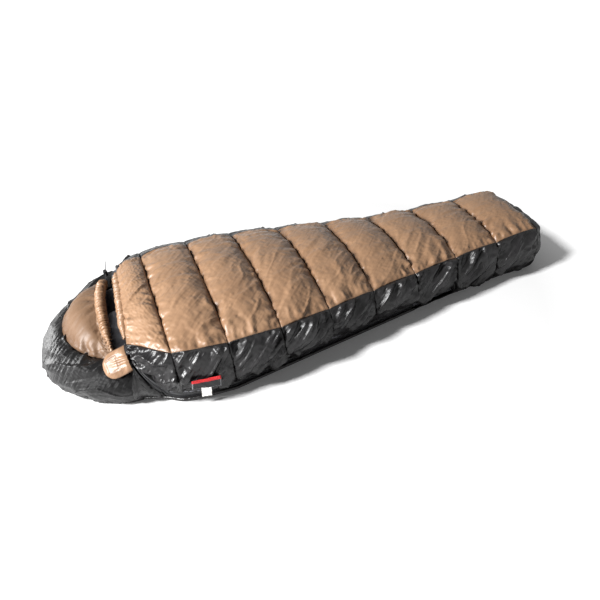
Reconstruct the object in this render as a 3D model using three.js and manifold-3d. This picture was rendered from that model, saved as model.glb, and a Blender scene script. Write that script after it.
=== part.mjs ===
// A down-filled mummy sleeping bag, lofted and lying on its back on the ground.
// Millimetres. +X runs from head to foot, -Y is the zip side and +Z is up. The origin is on the ground,
// under the middle of the bag's length, on its centre line.
//
// The quilt over the sleeper is three segments (front, middle, rear) that peel back about the far seam,
// and a foot segment that stays. Fabric is drawn thicker than it is sewn, as a sheet of SHEET millimetres.

import * as THREE from 'three';
import { mergeVertices } from 'three/addons/utils/BufferGeometryUtils.js';
import Module from 'manifold-3d';

const wasm = await Module();
wasm.setup();

// ---- driving dimensions ----

const HALF_LENGTH = 952.5;
const CHAMBER_PITCH = 179;
const CHAMBERS = 9;
const FIRST_SEAM_X = -517.5;
const FOOT_EDGE_X = FIRST_SEAM_X + CHAMBER_PITCH * (CHAMBERS - 1);
const NECK_X = -618; // neck edge of the quilt on the far side
const NECK_SLANT = 25; // how much further the neck edge reaches on the zip side
const HOOD_X = -640; // where the hood meets the body
const HOOD_Y = 62; // the hood lies a little towards the far side
const HOOD_RADIUS = 320;
const SHEET = 2.5; // drawn thickness of a fabric
const GAP = 5; // between neighbouring segments
const PUFF = 16; // how far a chamber stands above its seams
const LOFT = 34; // outer fabric to lining at a seam
const WALL = 45; // thickness of the padded side walls
const FLOOR_LINING_Z = 36;
const EDGE_INSET = 30; // how far inside the belly the side walls meet the ground
const ZIP_FOOT_INSET = 26;
const TAPE_MARGIN = 14; // the outer fabric stops this far above the zip's line
const LINING_MARGIN = 22; // and the lining this far
const BAFFLE_THICK = 2;
const ZIP_Z = 22;
const ZIP_CORNER_X = -560; // the zip leaves the ground here and climbs to the neck
const ZIP_TOP = { x: -643, z: 168 };
const ZIP_STRAIGHT_X = -338.5;
const ZIP_END_X = 372;
const ZIP_SLOPE = 0.1723; // the straight run closes in towards the feet
const ZIP_TILT = THREE.MathUtils.degToRad(15); // the tape faces outwards and a little down

const TAN = { color: 0xb98f6a, roughness: 0.42 };
const CHARCOAL = { color: 0x2d2b2e, roughness: 0.32 };
const LINING = { color: 0x1d1d22, roughness: 0.55 };
const DOWN = { color: 0xf1eee8, roughness: 0.95 };
const MESH_CLOTH = { color: 0xd8d8d8, roughness: 0.9 };
const WHITE_CLOTH = { color: 0xe9e6e0, roughness: 0.8 };
const METAL = { color: 0x3a3a3c, roughness: 0.35, metalness: 0.8 };
const PLASTIC = { color: 0x17171a, roughness: 0.5 };

// ---- outline of the bag, as smooth functions of x ----

// A smooth curve through [x, value] stations.
function along(stations) {
  const slope = (i) => {
    const a = stations[Math.max(i - 1, 0)];
    const b = stations[Math.min(i + 1, stations.length - 1)];
    return (b[1] - a[1]) / (b[0] - a[0]);
  };
  return (x) => {
    let i = 0;
    while (i < stations.length - 2 && x > stations[i + 1][0]) i += 1;
    const [x0, y0] = stations[i];
    const [x1, y1] = stations[i + 1];
    const h = x1 - x0;
    const s = THREE.MathUtils.clamp((x - x0) / h, 0, 1);
    const a = (1 + 2 * s) * (1 - s) ** 2 * y0 + s * (1 - s) ** 2 * h * slope(i);
    return a + s * s * (3 - 2 * s) * y1 + s * s * (s - 1) * h * slope(i + 1);
  };
}

const centreY = along([[-645, 50], [-618, 40], [-517, 8], [-420, 0], [FOOT_EDGE_X, 0]]);
const seamHalf = along([
  [-645, 240], [-618, 262], [-517, 335], [-338, 350], [-160, 340], [20, 306], [198, 266], [378, 230],
  [556, 203], [736, 185], [FOOT_EDGE_X, 176], [HALF_LENGTH, 168],
]);
const belly = along([
  [-645, 317], [-567, 326], [-517, 346], [-338, 362], [-160, 352], [20, 318], [198, 278], [378, 242],
  [556, 214], [736, 196], [FOOT_EDGE_X, 186], [HALF_LENGTH, 168],
]);
const seamZ = along([
  [-645, 198], [-517, 212], [-338, 205], [-160, 196], [20, 186], [198, 177], [378, 171], [556, 169],
  [736, 171], [FOOT_EDGE_X, 176], [HALF_LENGTH, 160],
]);
const rise = along([[-645, 30], [-517, 45], [-338, 58], [0, 58], [400, 44], [FOOT_EDGE_X, 22]]);

const seamX = (k) => FIRST_SEAM_X + CHAMBER_PITCH * (k - 1); // seam k lies between chambers k and k + 1
const neckX = (t) => NECK_X - NECK_SLANT * ((1 - t) / 2) ** 2;
const range = (n) => Array.from({ length: n }, (_, i) => i);
const steps = (a, b, n) => range(n + 1).map((i) => a + ((b - a) * i) / n);
const lerp = THREE.MathUtils.lerp;
const at = (x, y, z) => new THREE.Vector3(x, y, z);

// ---- solid helpers ----

function geometryOf(points, triangles) {
  const geometry = new THREE.BufferGeometry();
  geometry.setAttribute('position', new THREE.Float32BufferAttribute(points.flatMap((p) => p.toArray()), 3));
  let volume = 0;
  for (const [a, b, c] of triangles) {
    volume += points[a].dot(new THREE.Vector3().crossVectors(points[b], points[c]));
  }
  geometry.setIndex(triangles.flatMap(([a, b, c]) => (volume < 0 ? [a, c, b] : [a, b, c])));
  geometry.computeVertexNormals();
  return geometry;
}

// The closed solid between two grids of points, outer[i][j] and inner[i][j].
function slab(outer, inner) {
  const rows = outer.length;
  const cols = outer[0].length;
  const points = [...outer.flat(), ...inner.flat()];
  const id = (side, i, j) => side * rows * cols + i * cols + j;
  const triangles = [];
  const quad = (a, b, c, d) => triangles.push([a, b, c], [a, c, d]);
  for (let i = 0; i < rows - 1; i += 1) {
    for (let j = 0; j < cols - 1; j += 1) {
      quad(id(0, i, j), id(0, i + 1, j), id(0, i + 1, j + 1), id(0, i, j + 1));
      quad(id(1, i, j), id(1, i, j + 1), id(1, i + 1, j + 1), id(1, i + 1, j));
    }
  }
  for (let i = 0; i < rows - 1; i += 1) {
    quad(id(0, i, 0), id(1, i, 0), id(1, i + 1, 0), id(0, i + 1, 0));
    quad(id(0, i, cols - 1), id(0, i + 1, cols - 1), id(1, i + 1, cols - 1), id(1, i, cols - 1));
  }
  for (let j = 0; j < cols - 1; j += 1) {
    quad(id(0, 0, j), id(0, 0, j + 1), id(1, 0, j + 1), id(1, 0, j));
    quad(id(0, rows - 1, j), id(1, rows - 1, j), id(1, rows - 1, j + 1), id(0, rows - 1, j + 1));
  }
  return geometryOf(points, triangles);
}

// A fabric sheet: pointAt(u, v) is its outer face, and it is `thick` deep on the side `inwards` points to.
function sheet(pointAt, us, vs, inwards, thick = SHEET) {
  const outer = us.map((u) => vs.map((v) => pointAt(u, v)));
  const inner = outer.map((row, i) => row.map((p, j) => {
    const du = outer[Math.min(i + 1, us.length - 1)][j].clone().sub(outer[Math.max(i - 1, 0)][j]);
    const dv = outer[i][Math.min(j + 1, vs.length - 1)].clone().sub(outer[i][Math.max(j - 1, 0)]);
    const normal = du.cross(dv).normalize();
    if (normal.dot(inwards(p)) < 0) normal.negate();
    return p.clone().addScaledVector(normal, thick);
  }));
  return slab(outer, inner);
}

// A closed solid through a row of rings with the same number of points.
function loft(rings) {
  const n = rings[0].length;
  const points = rings.flat();
  const triangles = [];
  for (let i = 0; i < rings.length - 1; i += 1) {
    for (let j = 0; j < n; j += 1) {
      const a = i * n + j;
      const b = i * n + ((j + 1) % n);
      triangles.push([a, b, b + n], [a, b + n, a + n]);
    }
  }
  const last = points.length - n;
  capOf(rings[0]).forEach(([a, b, c]) => triangles.push([c, b, a]));
  capOf(rings.at(-1)).forEach(([a, b, c]) => triangles.push([last + a, last + b, last + c]));
  return geometryOf(points, triangles);
}

// Triangles over a ring, wound in the ring's own order.
function capOf(ring) {
  const normal = new THREE.Vector3();
  ring.forEach((p, i) => normal.add(new THREE.Vector3().crossVectors(p, ring[(i + 1) % ring.length])));
  const size = normal.toArray().map(Math.abs);
  const dropped = size.indexOf(Math.max(...size));
  const flat = ring.map((p) => new THREE.Vector2(...p.toArray().filter((_, i) => i !== dropped)));
  const forwards = THREE.ShapeUtils.area(flat) > 0;
  return THREE.ShapeUtils.triangulateShape(flat, []).map(([a, b, c]) => {
    const sameWay = (THREE.ShapeUtils.area([flat[a], flat[b], flat[c]]) > 0) === forwards;
    return sameWay ? [a, b, c] : [c, b, a];
  });
}

// A profile of [across, up] points swept along a path of { p, across, up } stations.
const sweep = (stations, profile) => loft(stations.map(({ p, across, up }) => profile.map(
  ([a, b]) => p.clone().addScaledVector(across, a).addScaledVector(up, b))));

// A round cord or roll through a row of points.
function cord(path, radius, sides = 6) {
  const profile = range(sides).map((i) => [
    radius * Math.cos((2 * Math.PI * i) / sides), radius * Math.sin((2 * Math.PI * i) / sides)]);
  return sweep(framesAlong(path), profile);
}

function framesAlong(path) {
  return path.map((p, i) => {
    const ahead = path[Math.min(i + 1, path.length - 1)].clone().sub(path[Math.max(i - 1, 0)]).normalize();
    const side = Math.abs(ahead.z) > 0.9 ? at(1, 0, 0) : at(0, 0, 1);
    const across = new THREE.Vector3().crossVectors(ahead, side).normalize();
    return { p, across, up: new THREE.Vector3().crossVectors(across, ahead) };
  });
}

function solidOf(geometry) {
  const plain = new THREE.BufferGeometry();
  plain.setAttribute('position', geometry.getAttribute('position'));
  plain.setIndex(geometry.index);
  const merged = mergeVertices(plain, 1e-3);
  return new wasm.Manifold(new wasm.Mesh({
    numProp: 3,
    vertProperties: merged.attributes.position.array,
    triVerts: new Uint32Array(merged.index.array),
  }));
}

function geometryFrom(solid) {
  const mesh = solid.getMesh();
  const geometry = new THREE.BufferGeometry();
  geometry.setAttribute('position', new THREE.Float32BufferAttribute(mesh.vertProperties, 3));
  geometry.setIndex(new THREE.BufferAttribute(mesh.triVerts, 1));
  return geometry;
}

const joined = (...geometries) => geometryFrom(geometries.map(solidOf).reduce((a, b) => a.add(b)));
const cut = (geometry, ...tools) => geometryFrom(
  tools.map(solidOf).reduce((a, b) => a.subtract(b), solidOf(geometry)));

const bag = new THREE.Group();
const place = (parent, name, geometry, look) => {
  const mesh = new THREE.Mesh(geometry, new THREE.MeshStandardMaterial(look));
  mesh.name = name;
  parent.add(mesh);
  return mesh;
};

// ---- quilt over the sleeper ----

const SEGMENTS = {
  front: { first: 1, last: 2 },
  middle: { first: 3, last: 4 },
  rear: { first: 5, last: 6 },
  foot: { first: 7, last: 9 },
};
const ACROSS = [-1, -0.92, -0.7, -0.4, 0, 0.4, 0.7, 0.92, 1];
const CHAMBER_SHARES = [0, 0.15, 0.5, 0.85, 1];

const chamberX = (k, share, t) => lerp(k === 1 ? neckX(t) : seamX(k - 1), seamX(k), share);
const puffAt = (share) => PUFF * (4 * share * (1 - share)) ** 0.6;

// Stations along a segment, as { k, share }, with the ends drawn in by half the gap.
function stationsOf({ first, last }, shares) {
  const inset = GAP / 2 / CHAMBER_PITCH;
  const found = [{ k: first, share: first === 1 ? 0 : inset }];
  for (const i of range(last - first + 1)) {
    for (const share of shares.slice(1)) found.push({ k: first + i, share });
  }
  found.at(-1).share = 1 - inset;
  return found;
}

function quiltTop({ k, share }, t) {
  const x = chamberX(k, share, t);
  const z = seamZ(x) + rise(x) * (1 - t * t) + puffAt(share) * (1 - t ** 4);
  return at(x, centreY(x) + seamHalf(x) * t, z);
}

function quiltLining({ k, share }, t) {
  const x = chamberX(k, share, t);
  return at(x, centreY(x) + (seamHalf(x) - WALL) * t, seamZ(x) + rise(x) * (1 - t * t) - LOFT);
}

const down = () => at(0, 0, -1);
const towardsMiddle = (p) => at(0, centreY(p.x) - p.y, 100 - p.z);

// The zip-side wall from the seam (s = 0) to the zip (s = 1), as a quadratic curve in the YZ plane.
const SEAM_CLEARANCE = 5; // the wall's edge lies this far below the quilt's
const TOP_FALL = 0.7; // how much lower a deeper layer starts, as a share of its depth
const FOOT_SHIFT = { y: 0.55, z: 0.15 }; // and where it ends
function wallCurve(x, depth) {
  const top = new THREE.Vector2(
    centreY(x) - seamHalf(x) + depth, seamZ(x) - SEAM_CLEARANCE - depth * TOP_FALL);
  const foot = new THREE.Vector2(
    zipFootY(x) + depth * FOOT_SHIFT.y, ZIP_Z + TAPE_MARGIN + depth * FOOT_SHIFT.z);
  const middle = new THREE.Vector2(centreY(x) - belly(x) + depth, (top.y + foot.y) / 2);
  const control = middle.clone().multiplyScalar(2).sub(top.clone().add(foot).multiplyScalar(0.5));
  return new THREE.QuadraticBezierCurve(top, control, foot);
}

function zipFootY(x) {
  const bent = Math.min(x, ZIP_STRAIGHT_X);
  return centreY(bent) - belly(bent) + ZIP_FOOT_INSET + ZIP_SLOPE * (x - bent);
}

// Height of the zip's line: along the ground, then up the diagonal to the neck.
function zipHeight(x) {
  const climb = THREE.MathUtils.clamp((ZIP_CORNER_X - x) / (ZIP_CORNER_X - ZIP_TOP.x), 0, 1);
  return lerp(ZIP_Z, ZIP_TOP.z, climb);
}

const ZIP_RUN = ZIP_CORNER_X - ZIP_TOP.x;
const ZIP_CLIMB = Math.hypot(ZIP_RUN, ZIP_TOP.z - ZIP_Z) / ZIP_RUN;

// How far down the wall reaches at x before the zip's tape begins.
const HALVINGS = 30;
function wallReach(curve, lowest) {
  let low = 0;
  let high = 1;
  for (let i = 0; i < HALVINGS; i += 1) {
    const mid = (low + high) / 2;
    if (curve.getPoint(mid).y > lowest) low = mid;
    else high = mid;
  }
  return low;
}

// The margin is measured square to the zip, so it stands higher above the steep part.
function wallPoint(x, s, depth, margin) {
  const curve = wallCurve(x, depth);
  const above = margin * (x <= ZIP_CORNER_X ? ZIP_CLIMB : 1);
  const reach = wallReach(curve, Math.max(zipHeight(x) + above, curve.v2.y + 0.01));
  const { x: y, y: z } = curve.getPoint(s * reach);
  return at(x, y, z);
}

const quilt = {};
for (const [name, segment] of Object.entries(SEGMENTS)) {
  quilt[name] = new THREE.Group();
  bag.add(quilt[name]);
  const geometry = sheet(quiltTop, stationsOf(segment, CHAMBER_SHARES), ACROSS, down);
  place(quilt[name], `top_shell_${name}`, geometry, TAN);
}

// The lining follows the arch and, on the peeling segments, goes on down the zip side.
const LINING_ARCH = [1, 0.7, 0.35, 0, -0.35, -0.7, -1];
const LINING_SIDE = [0.25, 0.55, 0.8, 1];
const LINING_DROP = 8; // least fall of the lining from the arch's edge to the zip
const liningStations = (segment) => stationsOf(segment, [0, 1]);
function liningPoint(station, v) {
  if (v.t !== undefined) return quiltLining(station, v.t);
  const x = chamberX(station.k, station.share, -1);
  const p = wallPoint(x, v.s, WALL, LINING_MARGIN);
  const start = quiltLining(station, -1);
  return at(x, p.y, Math.min(p.z, start.z - LINING_DROP * v.s));
}
for (const [name, segment] of Object.entries(SEGMENTS)) {
  const arch = LINING_ARCH.map((t) => ({ t }));
  const side = name === 'foot' ? [] : LINING_SIDE.map((s) => ({ s }));
  const geometry = sheet(liningPoint, liningStations(segment), [...arch, ...side], towardsMiddle);
  place(quilt[name], `top_liner_${name}`, geometry, LINING);
}

// Mesh walls between the chambers, from the outer fabric down to the lining.
const BAFFLE_OFFSET = 4; // a wall stands just in front of its seam
const BAFFLE_TOP_GAP = 6.5;
const BAFFLE_FOOT_GAP = 3;
const BAFFLE_END_GAP = 6;
function baffleWall(k) {
  const x = seamX(k) - BAFFLE_OFFSET;
  const reach = seamHalf(x) - WALL - BAFFLE_END_GAP;
  const ys = steps(-reach, reach, 8);
  const arch = (y, half) => seamZ(x) + rise(x) * (1 - (y / half) ** 2);
  const face = (xFace) => [
    ys.map((y) => at(xFace, centreY(x) + y, arch(y, seamHalf(x)) - BAFFLE_TOP_GAP)),
    ys.map((y) => at(xFace, centreY(x) + y, arch(y, seamHalf(x) - WALL) - LOFT + BAFFLE_FOOT_GAP)),
  ];
  return slab(face(x - BAFFLE_THICK / 2), face(x + BAFFLE_THICK / 2));
}

const hexagon = range(6).map((i) => [Math.cos((i * Math.PI) / 3), Math.sin((i * Math.PI) / 3)]);

// Down in one chamber: a flattened roll from side to side, clear of the fabrics round it.
const DOWN_HALF_HEIGHT = 11;
const DOWN_WIDTH_SHARE = 0.34; // half width of a roll, as a share of its chamber
const DOWN_MIDDLE_SHARE = 0.46; // just in front of the middle, away from the mesh wall
const DOWN_REACH = 0.8; // how far out to each side, as a share of the quilt's half width
function downFill(k) {
  const width = (seamX(k) - chamberX(k, 0, 1)) * DOWN_WIDTH_SHARE;
  const station = { k, share: DOWN_MIDDLE_SHARE };
  return loft(steps(-DOWN_REACH, DOWN_REACH, 8).map((t) => {
    const middle = quiltTop(station, t).lerp(quiltLining(station, t), 0.5);
    return hexagon.map(([a, b]) => at(middle.x + width * a, middle.y, middle.z + DOWN_HALF_HEIGHT * b));
  }));
}

const segmentOf = (k) => Object.keys(SEGMENTS).find(
  (name) => k >= SEGMENTS[name].first && k <= SEGMENTS[name].last);
for (const k of range(CHAMBERS).map((i) => i + 1)) {
  place(quilt[segmentOf(k)], `down_fill_${k}`, downFill(k), DOWN);
  if (k < CHAMBERS) place(quilt[segmentOf(k)], `baffle_wall_${k}`, baffleWall(k), MESH_CLOTH);
}

// Outer fabric of the zip-side wall, one piece per peeling segment.
const SECOND_CHAMBER_X = (seamX(1) + seamX(2)) / 2;
const WALL_STEP = 60; // between the wall's stations
const CLIMB_MIDDLE_X = -600; // one more station on the zip's diagonal
function wallXs(name) {
  const { first, last } = SEGMENTS[name];
  const end = seamX(last) - GAP / 2;
  if (name === 'front') return [ZIP_TOP.x, CLIMB_MIDDLE_X, ZIP_CORNER_X, seamX(1), SECOND_CHAMBER_X, end];
  const start = seamX(first - 1) + GAP / 2;
  return [...range(5).map((i) => start + WALL_STEP * i), end];
}
for (const name of ['front', 'middle', 'rear']) {
  const outerWall = (x, s) => wallPoint(x, s, 0, TAPE_MARGIN);
  const geometry = sheet(outerWall, wallXs(name), steps(0, 1, 5), towardsMiddle);
  place(quilt[name], `side_shell_${name}`, geometry, CHARCOAL);
}

// ---- underside, far wall and foot ----

const FLOOR_SHARES = steps(0, 1, 4);
const LIP_HEIGHT = 8;
const LIP_WIDTH = 10;
const FAR_CLEARANCE = 6;
const FAR_FALL = 0.8;
const FOOT_NARROWING = 0.75;
const FLOOR_SHARE_OF_DEPTH = 0.8; // the underside is thinner than the walls, where it is lain on
// Half the width of the part that touches the ground.
const footHalf = (x, depth) => belly(x) - EDGE_INSET - depth * FOOT_NARROWING;

// Outer fabric under the sleeper and up the far wall, from the zip's tape (v = 0) to the far seam (v = 1).
function farWall(x, s, depth) {
  const top = at(x, centreY(x) + seamHalf(x) - depth, seamZ(x) - FAR_CLEARANCE - depth * FAR_FALL);
  const foot = at(x, centreY(x) + footHalf(x, depth), depth * FLOOR_SHARE_OF_DEPTH);
  const bulge = 2 * (centreY(x) + belly(x) - depth) - (top.y + foot.y) / 2;
  const control = at(x, bulge, (top.z + foot.z) / 2);
  return new THREE.QuadraticBezierCurve3(foot, control, top).getPoint(s);
}

// depth 0 is the outer fabric; deeper layers lie inside it.
function underPoint(depth, nearInset) {
  return (x, v) => {
    const near = zipFootY(x) + nearInset;
    const floor = depth * FLOOR_SHARE_OF_DEPTH;
    if (v.lip) return at(x, near, floor + LIP_HEIGHT);
    if (v.floor !== undefined) {
      return at(x, lerp(near + LIP_WIDTH, centreY(x) + footHalf(x, depth), v.floor), floor);
    }
    return farWall(x, v.wall, depth);
  };
}
const WALL_ROWS = steps(0, 1, 5).slice(1).map((wall) => ({ wall }));
const UNDER = [...FLOOR_SHARES.map((floor) => ({ floor })), ...WALL_ROWS];
const THIRD_CHAMBER_X = (seamX(2) + seamX(3)) / 2;
const BODY_FRONT_X = -636;
const BODY_XS = [
  BODY_FRONT_X, ZIP_CORNER_X, seamX(1), SECOND_CHAMBER_X, seamX(2), THIRD_CHAMBER_X, seamX(3),
  seamX(4), seamX(5), seamX(6) - GAP / 2,
];
const upAndIn = (p) => at(0, centreY(p.x) - p.y, 300);

// Outline of the hood on the ground: a half circle, drawn in at its shoulders and swelling at its ends.
const SHOULDER = 35;
const swellOf = (angle) => (angle < 0 ? 20 : 4);
const hoodRadius = (angle) => (
  HOOD_RADIUS - SHOULDER * Math.sin(2 * angle) ** 2 + swellOf(angle) * Math.sin(angle) ** 2);
const hoodPoint = (angle, r, z) => at(HOOD_X - r * Math.cos(angle), HOOD_Y + r * Math.sin(angle), z);

const HOOD_FLOOR_INSET = 34;
function hoodFloor() {
  const outline = new THREE.Shape(steps(-Math.PI / 2, Math.PI / 2, 16).map((angle) => {
    const p = hoodPoint(angle, hoodRadius(angle) - HOOD_FLOOR_INSET, 0);
    return new THREE.Vector2(p.x, p.y);
  }));
  return new THREE.ExtrudeGeometry(outline, { depth: SHEET, bevelEnabled: false });
}

// A bridge joins the hood's floor to the body's, so that the underside is one fabric.
const BRIDGE = { length: 20, width: 480, y: HOOD_Y - 30 };
function underBridge() {
  const bridge = new THREE.BoxGeometry(BRIDGE.length, BRIDGE.width, SHEET);
  return bridge.translate(HOOD_X, BRIDGE.y, SHEET / 2);
}

// Each layer's depth below the outer fabric, and its distance from the zip.
const OUTER = { depth: 0, inset: 6 };
const INNER = { depth: WALL, inset: 40 };
const BETWEEN = { depth: 10, inset: 30, thick: 15 };
const bodySheet = sheet(underPoint(OUTER.depth, OUTER.inset), BODY_XS, [{ lip: true }, ...UNDER], upAndIn);
place(bag, 'bottom_shell', joined(bodySheet, hoodFloor(), underBridge()), CHARCOAL);
place(bag, 'bottom_liner', sheet(underPoint(INNER.depth, INNER.inset), BODY_XS, UNDER, upAndIn), LINING);
place(bag, 'bottom_down', sheet(
  underPoint(BETWEEN.depth, BETWEEN.inset), BODY_XS.slice(1, -1), UNDER, upAndIn, BETWEEN.thick), DOWN);

// The foot box: outer fabric round both sides, a lining inside it and a padded end.
function footPoint(depth) {
  return (x, v) => {
    if (v.wall !== undefined) return farWall(x, v.wall, depth);
    if (v.near !== undefined) {
      const p = farWall(x, v.near, depth);
      return at(x, 2 * centreY(x) - p.y, p.z);
    }
    const half = footHalf(x, depth);
    return at(x, centreY(x) + lerp(-half, half, v.floor), depth * FLOOR_SHARE_OF_DEPTH);
  };
}
const FOOT_AROUND = [
  ...steps(1, 0, 5).slice(0, -1).map((near) => ({ near })), ...FLOOR_SHARES.map((floor) => ({ floor })),
  ...WALL_ROWS,
];
const LAST_CHAMBER_X = 830;
const FOOT_XS = [seamX(6) + GAP / 2, seamX(7), seamX(8), LAST_CHAMBER_X, FOOT_EDGE_X];
place(bag, 'foot_shell', sheet(footPoint(0), FOOT_XS, FOOT_AROUND, upAndIn), CHARCOAL);
place(bag, 'foot_liner', sheet(footPoint(WALL), FOOT_XS, FOOT_AROUND, upAndIn), LINING);

// The end panel's rings, from its seam to its face: distance behind the foot's edge, and scale.
const END_RINGS = [[3, 0.98], [22, 0.96], [HALF_LENGTH - FOOT_EDGE_X, 0.84]];
const END_FLOOR = { cut: 4, lift: 1.5 }; // it stops just above the ground
function footEnd() {
  const outline = [...FOOT_AROUND.map((v) => footPoint(0)(FOOT_EDGE_X, v)),
    ...ACROSS.toReversed().slice(1, -1).map((t) => quiltTop({ k: CHAMBERS, share: 1 }, t))];
  const raised = (z, scale) => Math.max(z - END_FLOOR.cut, 0) * (0.5 + scale / 2) + END_FLOOR.lift;
  return loft(END_RINGS.map(([behind, scale]) => outline.map(
    (p) => at(FOOT_EDGE_X + behind, p.y * scale, raised(p.z, scale)))));
}
place(bag, 'foot_end_panel', footEnd(), CHARCOAL);

// Two webbing loops on the end panel, for hanging the bag up to air.
const LOOP_Y = 90;
const LOOP_Z = 92;
const WEBBING_WIDTH = 15;
const LOOP_CLEARANCE = 0.4;
const LOOP_OUTSIDE = [[0, -8], [20, -8], [24, -4], [24, 4], [20, 8], [0, 8]];
const LOOP_INSIDE = [[2, -6], [19, -6], [22, -3], [22, 3], [19, 6], [2, 6]];
const corners = (pairs) => pairs.map((pair) => new THREE.Vector2(...pair));
function hangLoop(y) {
  const outline = new THREE.Shape(corners(LOOP_OUTSIDE));
  outline.holes.push(new THREE.Path(corners(LOOP_INSIDE)));
  const geometry = new THREE.ExtrudeGeometry(outline, { depth: WEBBING_WIDTH, bevelEnabled: false });
  return geometry.rotateX(Math.PI / 2).translate(HALF_LENGTH + LOOP_CLEARANCE, y + WEBBING_WIDTH / 2, LOOP_Z);
}
place(bag, 'hang_loop_near', hangLoop(-LOOP_Y), PLASTIC);
place(bag, 'hang_loop_far', hangLoop(LOOP_Y), PLASTIC);

// ---- hood ----

const INNER_RADIUS = 196; // edge of the brow panel
const INNER_DROP = 12; // the inner edge lies this far below the rim
const rimHeight = along([[-1.57, 112], [-1.17, 125], [-0.52, 150], [0, 166], [0.8, 182], [1.57, 188]]);
const innerHeight = (angle) => rimHeight(angle) - INNER_DROP;

// Section of the hood's roll from its inner edge (v = 0), over the rim, to the ground (v = 1).
const ROLL_INSET = 4; // from the brow panel's edge
const ROLL_CREST = { r: 60, z: 40 }; // how full the roll is over its rim
const ROLL_BULGE = { r: 32, share: 0.72 }; // and at its outside
const ROLL_FOOT = { r: -30, z: 4 };
function hoodSection(angle, v) {
  const outer = hoodRadius(angle);
  const inner = INNER_RADIUS + ROLL_INSET;
  const rim = rimHeight(angle);
  const { x: r, y: z } = new THREE.CubicBezierCurve(
    new THREE.Vector2(inner, innerHeight(angle)),
    new THREE.Vector2(inner + ROLL_CREST.r, rim + ROLL_CREST.z),
    new THREE.Vector2(outer + ROLL_BULGE.r, rim * ROLL_BULGE.share),
    new THREE.Vector2(outer + ROLL_FOOT.r, ROLL_FOOT.z),
  ).getPoint(v);
  return hoodPoint(angle, r, z);
}
const HOOD_ANGLES = steps(-Math.PI / 2, Math.PI / 2, 14);
const ROLL_MIDDLE = { r: 255, z: 80 };
const rollCentre = (p) => {
  const middle = at(p.x - HOOD_X, p.y - HOOD_Y, 0).setLength(ROLL_MIDDLE.r);
  return middle.add(at(HOOD_X, HOOD_Y, ROLL_MIDDLE.z)).sub(p);
};

// The panel between the hood's near end and the zip's diagonal.
const GUSSET_MARGIN = 20; // below the zip's line
const GUSSET_XS = [HOOD_X - 22, -630, -600, -575];
const GUSSET_FOOT = { inset: 22, z: 4 };
const GUSSET_LOWEST = 8;
const GUSSET_BULGE = 0.16; // as a share of its height
function hoodGusset() {
  const pointAt = (x, s) => {
    const top = zipHeight(x) - GUSSET_MARGIN * ZIP_CLIMB;
    const foot = at(x, centreY(x) - belly(x) + GUSSET_FOOT.inset, GUSSET_FOOT.z);
    const curve = wallCurve(x, 0);
    const p = curve.getPoint(wallReach(curve, Math.max(top, curve.v2.y)));
    const high = at(x, p.x, Math.max(top, GUSSET_LOWEST));
    const out = GUSSET_BULGE * (high.z - foot.z);
    const bulge = at(x, (foot.y + high.y) / 2 - out, (foot.z + high.z) / 2);
    return new THREE.QuadraticBezierCurve3(foot, bulge, high).getPoint(s);
  };
  return sheet(pointAt, GUSSET_XS, steps(0, 1, 4), towardsMiddle);
}
const hoodRoll = sheet(hoodSection, HOOD_ANGLES, steps(0, 1, 8), rollCentre);
place(bag, 'hood_shell', joined(hoodRoll, hoodGusset()), CHARCOAL);

// The lining is a bowl: a floor for the head, then the inside of the roll.
const BOWL = { inner: 12, floor: 168, rim: INNER_RADIUS - 8, drop: 32 };
const BOWL_ROWS = [0, 0.5, 1, 1.3, 1.65, 2];
function hoodLiningPoint(angle, v) {
  if (v <= 1) return hoodPoint(angle, lerp(BOWL.inner, BOWL.floor, v), FLOOR_LINING_Z);
  const r = lerp(BOWL.floor, BOWL.rim, (v - 1) ** 2);
  return hoodPoint(angle, r, lerp(FLOOR_LINING_Z, innerHeight(angle) - BOWL.drop, v - 1));
}
place(bag, 'hood_liner', sheet(hoodLiningPoint, HOOD_ANGLES, BOWL_ROWS, down), LINING);

const HOOD_FILL = { inset: 66, halfWidth: 26, halfHeight: 34, angle: 1.35 };
function hoodDown() {
  const angles = steps(-HOOD_FILL.angle, HOOD_FILL.angle, 12);
  return loft(angles.map((angle) => hexagon.map(([a, b]) => hoodPoint(
    angle, hoodRadius(angle) - HOOD_FILL.inset + HOOD_FILL.halfWidth * a,
    rimHeight(angle) * 0.5 + HOOD_FILL.halfHeight * b))));
}
place(bag, 'hood_down', hoodDown(), DOWN);

// The brow: a padded half-moon over the forehead, edged with the channel that the drawcord runs in.
const brow = new THREE.Group();
bag.add(brow);
const BROW_NEAR = at(-697, -125, 142);
const BROW_FAR = at(-664, 245, 192);
const BROW_ARCH = 62;
const BROW_LEAN = -14;
const BROW_ROUNDNESS = 0.8; // below 1 the arch is fuller than a sine
function browEdge(share) {
  const p = BROW_NEAR.clone().lerp(BROW_FAR, share);
  const lift = Math.sin(Math.PI * share) ** BROW_ROUNDNESS;
  return p.add(at(BROW_LEAN * lift, 0, BROW_ARCH * lift));
}
const BROW_ANGLE = 1.2;
const BROW_PUFF = 20;
const BROW_LOFT = 24;
const CHANNEL_CLEARANCE = 15;
const EDGE_SPAN = [0.03, 0.97]; // the panel's share of the opening's edge
const PUFF_SPAN = [0.06, 0.94];
function browPoint(share, v, depth) {
  const angle = lerp(-BROW_ANGLE, BROW_ANGLE, share);
  const back = hoodPoint(angle, INNER_RADIUS, innerHeight(angle));
  const front = browEdge(lerp(...EDGE_SPAN, share)).add(at(-CHANNEL_CLEARANCE, 0, 0));
  const puff = BROW_PUFF * Math.sin(Math.PI * v) * Math.sin(Math.PI * lerp(...PUFF_SPAN, share));
  return back.lerp(front, v).add(at(0, 0, puff - depth));
}
const BROW_SHARES = steps(0, 1, 10);
const BROW_ROWS = steps(0, 1, 5);
place(brow, 'brow_panel', sheet((a, v) => browPoint(a, v, 0), BROW_SHARES, BROW_ROWS, down), TAN);
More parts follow.
